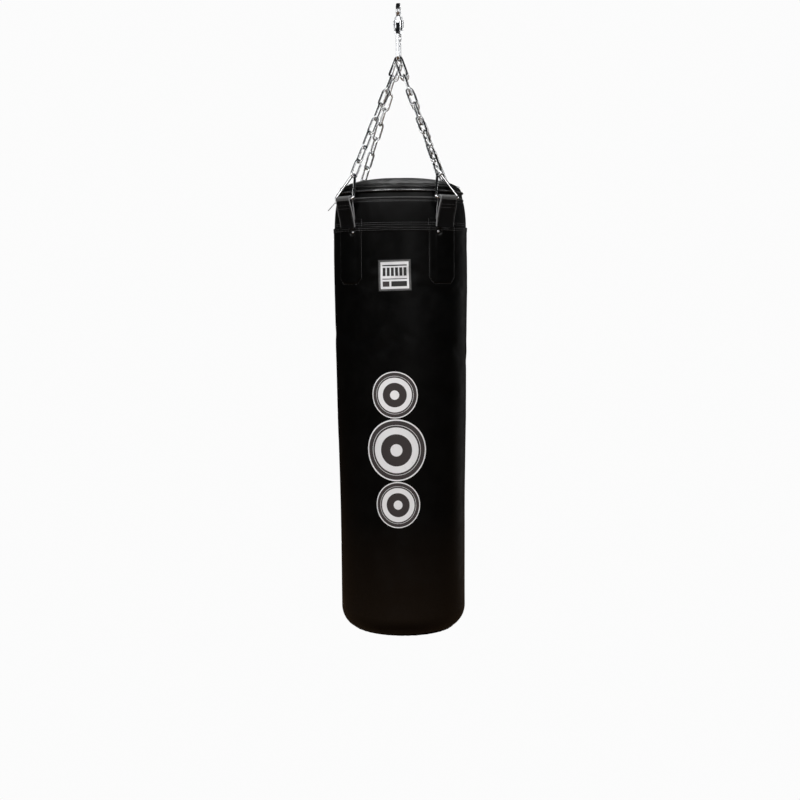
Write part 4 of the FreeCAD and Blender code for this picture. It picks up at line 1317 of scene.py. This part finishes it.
# Name, azimuth in degrees, distance, height, width, tallness, power, and the height aimed at
LEATHER_LIGHTS = (
    ("key_high_left", -35, 2.6, 3.2, 1.8, 1.2, 215, -0.5),
    ("key_high_right", 40, 2.6, 3.2, 1.8, 1.2, 170, -0.5),
    ("front_strip", 22, 3.2, 0.15, 0.30, 0.7, 3.2, -0.1),
    ("right_wrap", 140, 2.6, -0.5, 0.5, 2.4, 1.6, -0.5),
    ("rear_strip", 192, 3.0, -0.5, 0.3, 2.2, 30, -0.5),
    ("back_high", 180, 2.8, 3.0, 1.8, 1.2, 22, -0.5))
# Azimuth in degrees and width; the power goes with the width
METAL_PANELS = ((-68, 0.4), (-28, 0.7), (8, 0.7), (48, 0.5), (115, 0.4), (180, 0.4), (240, 0.4))
PANEL_POWER = 18


def area_light(name, azimuth, distance, height, width, tall, power, aim_height):
    data = bpy.data.lights.new(name, "AREA")
    data.shape = "RECTANGLE"
    data.size = width
    data.size_y = tall
    data.energy = power
    lamp = bpy.data.objects.new(name, data)
    a = math.radians(azimuth)
    lamp.location = (distance * math.sin(a), -distance * math.cos(a), RIM + height)
    aim = Vector((0, 0, RIM + aim_height))
    lamp.rotation_euler = (aim - lamp.location).to_track_quat("-Z", "Y").to_euler()
    bpy.context.scene.collection.objects.link(lamp)
    return lamp


def metal_collection(name, link_state):
    """The metal pieces, as a light's list of what it lights or what it leaves out."""
    metal = bpy.data.collections.new(name)
    for node_name, node in frame["nodes"].items():
        if node_name.startswith(tuple(METAL_LOOKS)):
            metal.objects.link(node)
    for member in metal.collection_objects:
        member.light_linking.link_state = link_state
    return metal


def build_lights():
    """High keys for the prints, weak strips for the leather's sheen, and panels for the metal only."""
    without_metal = metal_collection("without_metal", "EXCLUDE")
    only_metal = metal_collection("only_metal", "INCLUDE")
    for settings in LEATHER_LIGHTS:
        area_light(*settings).light_linking.receiver_collection = without_metal
    for azimuth, width in METAL_PANELS:
        name = "metal_panel_%d" % azimuth
        panel = area_light(name, azimuth, 2.2, 0.25, width, 1.5, PANEL_POWER * width, 0.15)
        panel.light_linking.receiver_collection = only_metal


def build_camera():
    """Looks from slightly right of the front and a little below the rim."""
    distance = 3.4
    azimuth = math.radians(5)
    data = bpy.data.cameras.new("camera")
    data.sensor_width = 36
    data.lens = 57.4
    camera = bpy.data.objects.new("camera", data)
    camera.location = (distance * math.sin(azimuth), -distance * math.cos(azimuth), RIM - 0.2545)
    data.shift_x = -0.0022
    pitch = math.radians(-5.33)
    roll = math.radians(-0.5)
    level = math.cos(pitch)
    forward = Vector((-math.sin(azimuth) * level, math.cos(azimuth) * level, math.sin(pitch)))
    turn = forward.to_track_quat("-Z", "Y").to_matrix()
    camera.rotation_euler = turn.to_euler()
    camera.rotation_euler.rotate_axis("Z", roll)
    bpy.context.scene.collection.objects.link(camera)
    bpy.context.scene.camera = camera


simulate_bag()
simulate_lid()
build_shell()
build_bottom()
build_collar()
build_lid()
build_piping()
build_zip()
for leg, strap_azimuth in zip(LEGS, STRAP_AZIMUTHS):
    strap_grid, strap_count = build_strap(leg, strap_azimuth)
    build_strap_seams(leg, strap_grid, strap_count)
build_leather_seams()
build_emblem()
build_label()
build_inside()
build_slider()
build_pull()
paint_cad_metal()
build_stage()
build_world()
build_lights()
build_camera()
bpy.context.scene.view_settings.view_transform = "Standard"
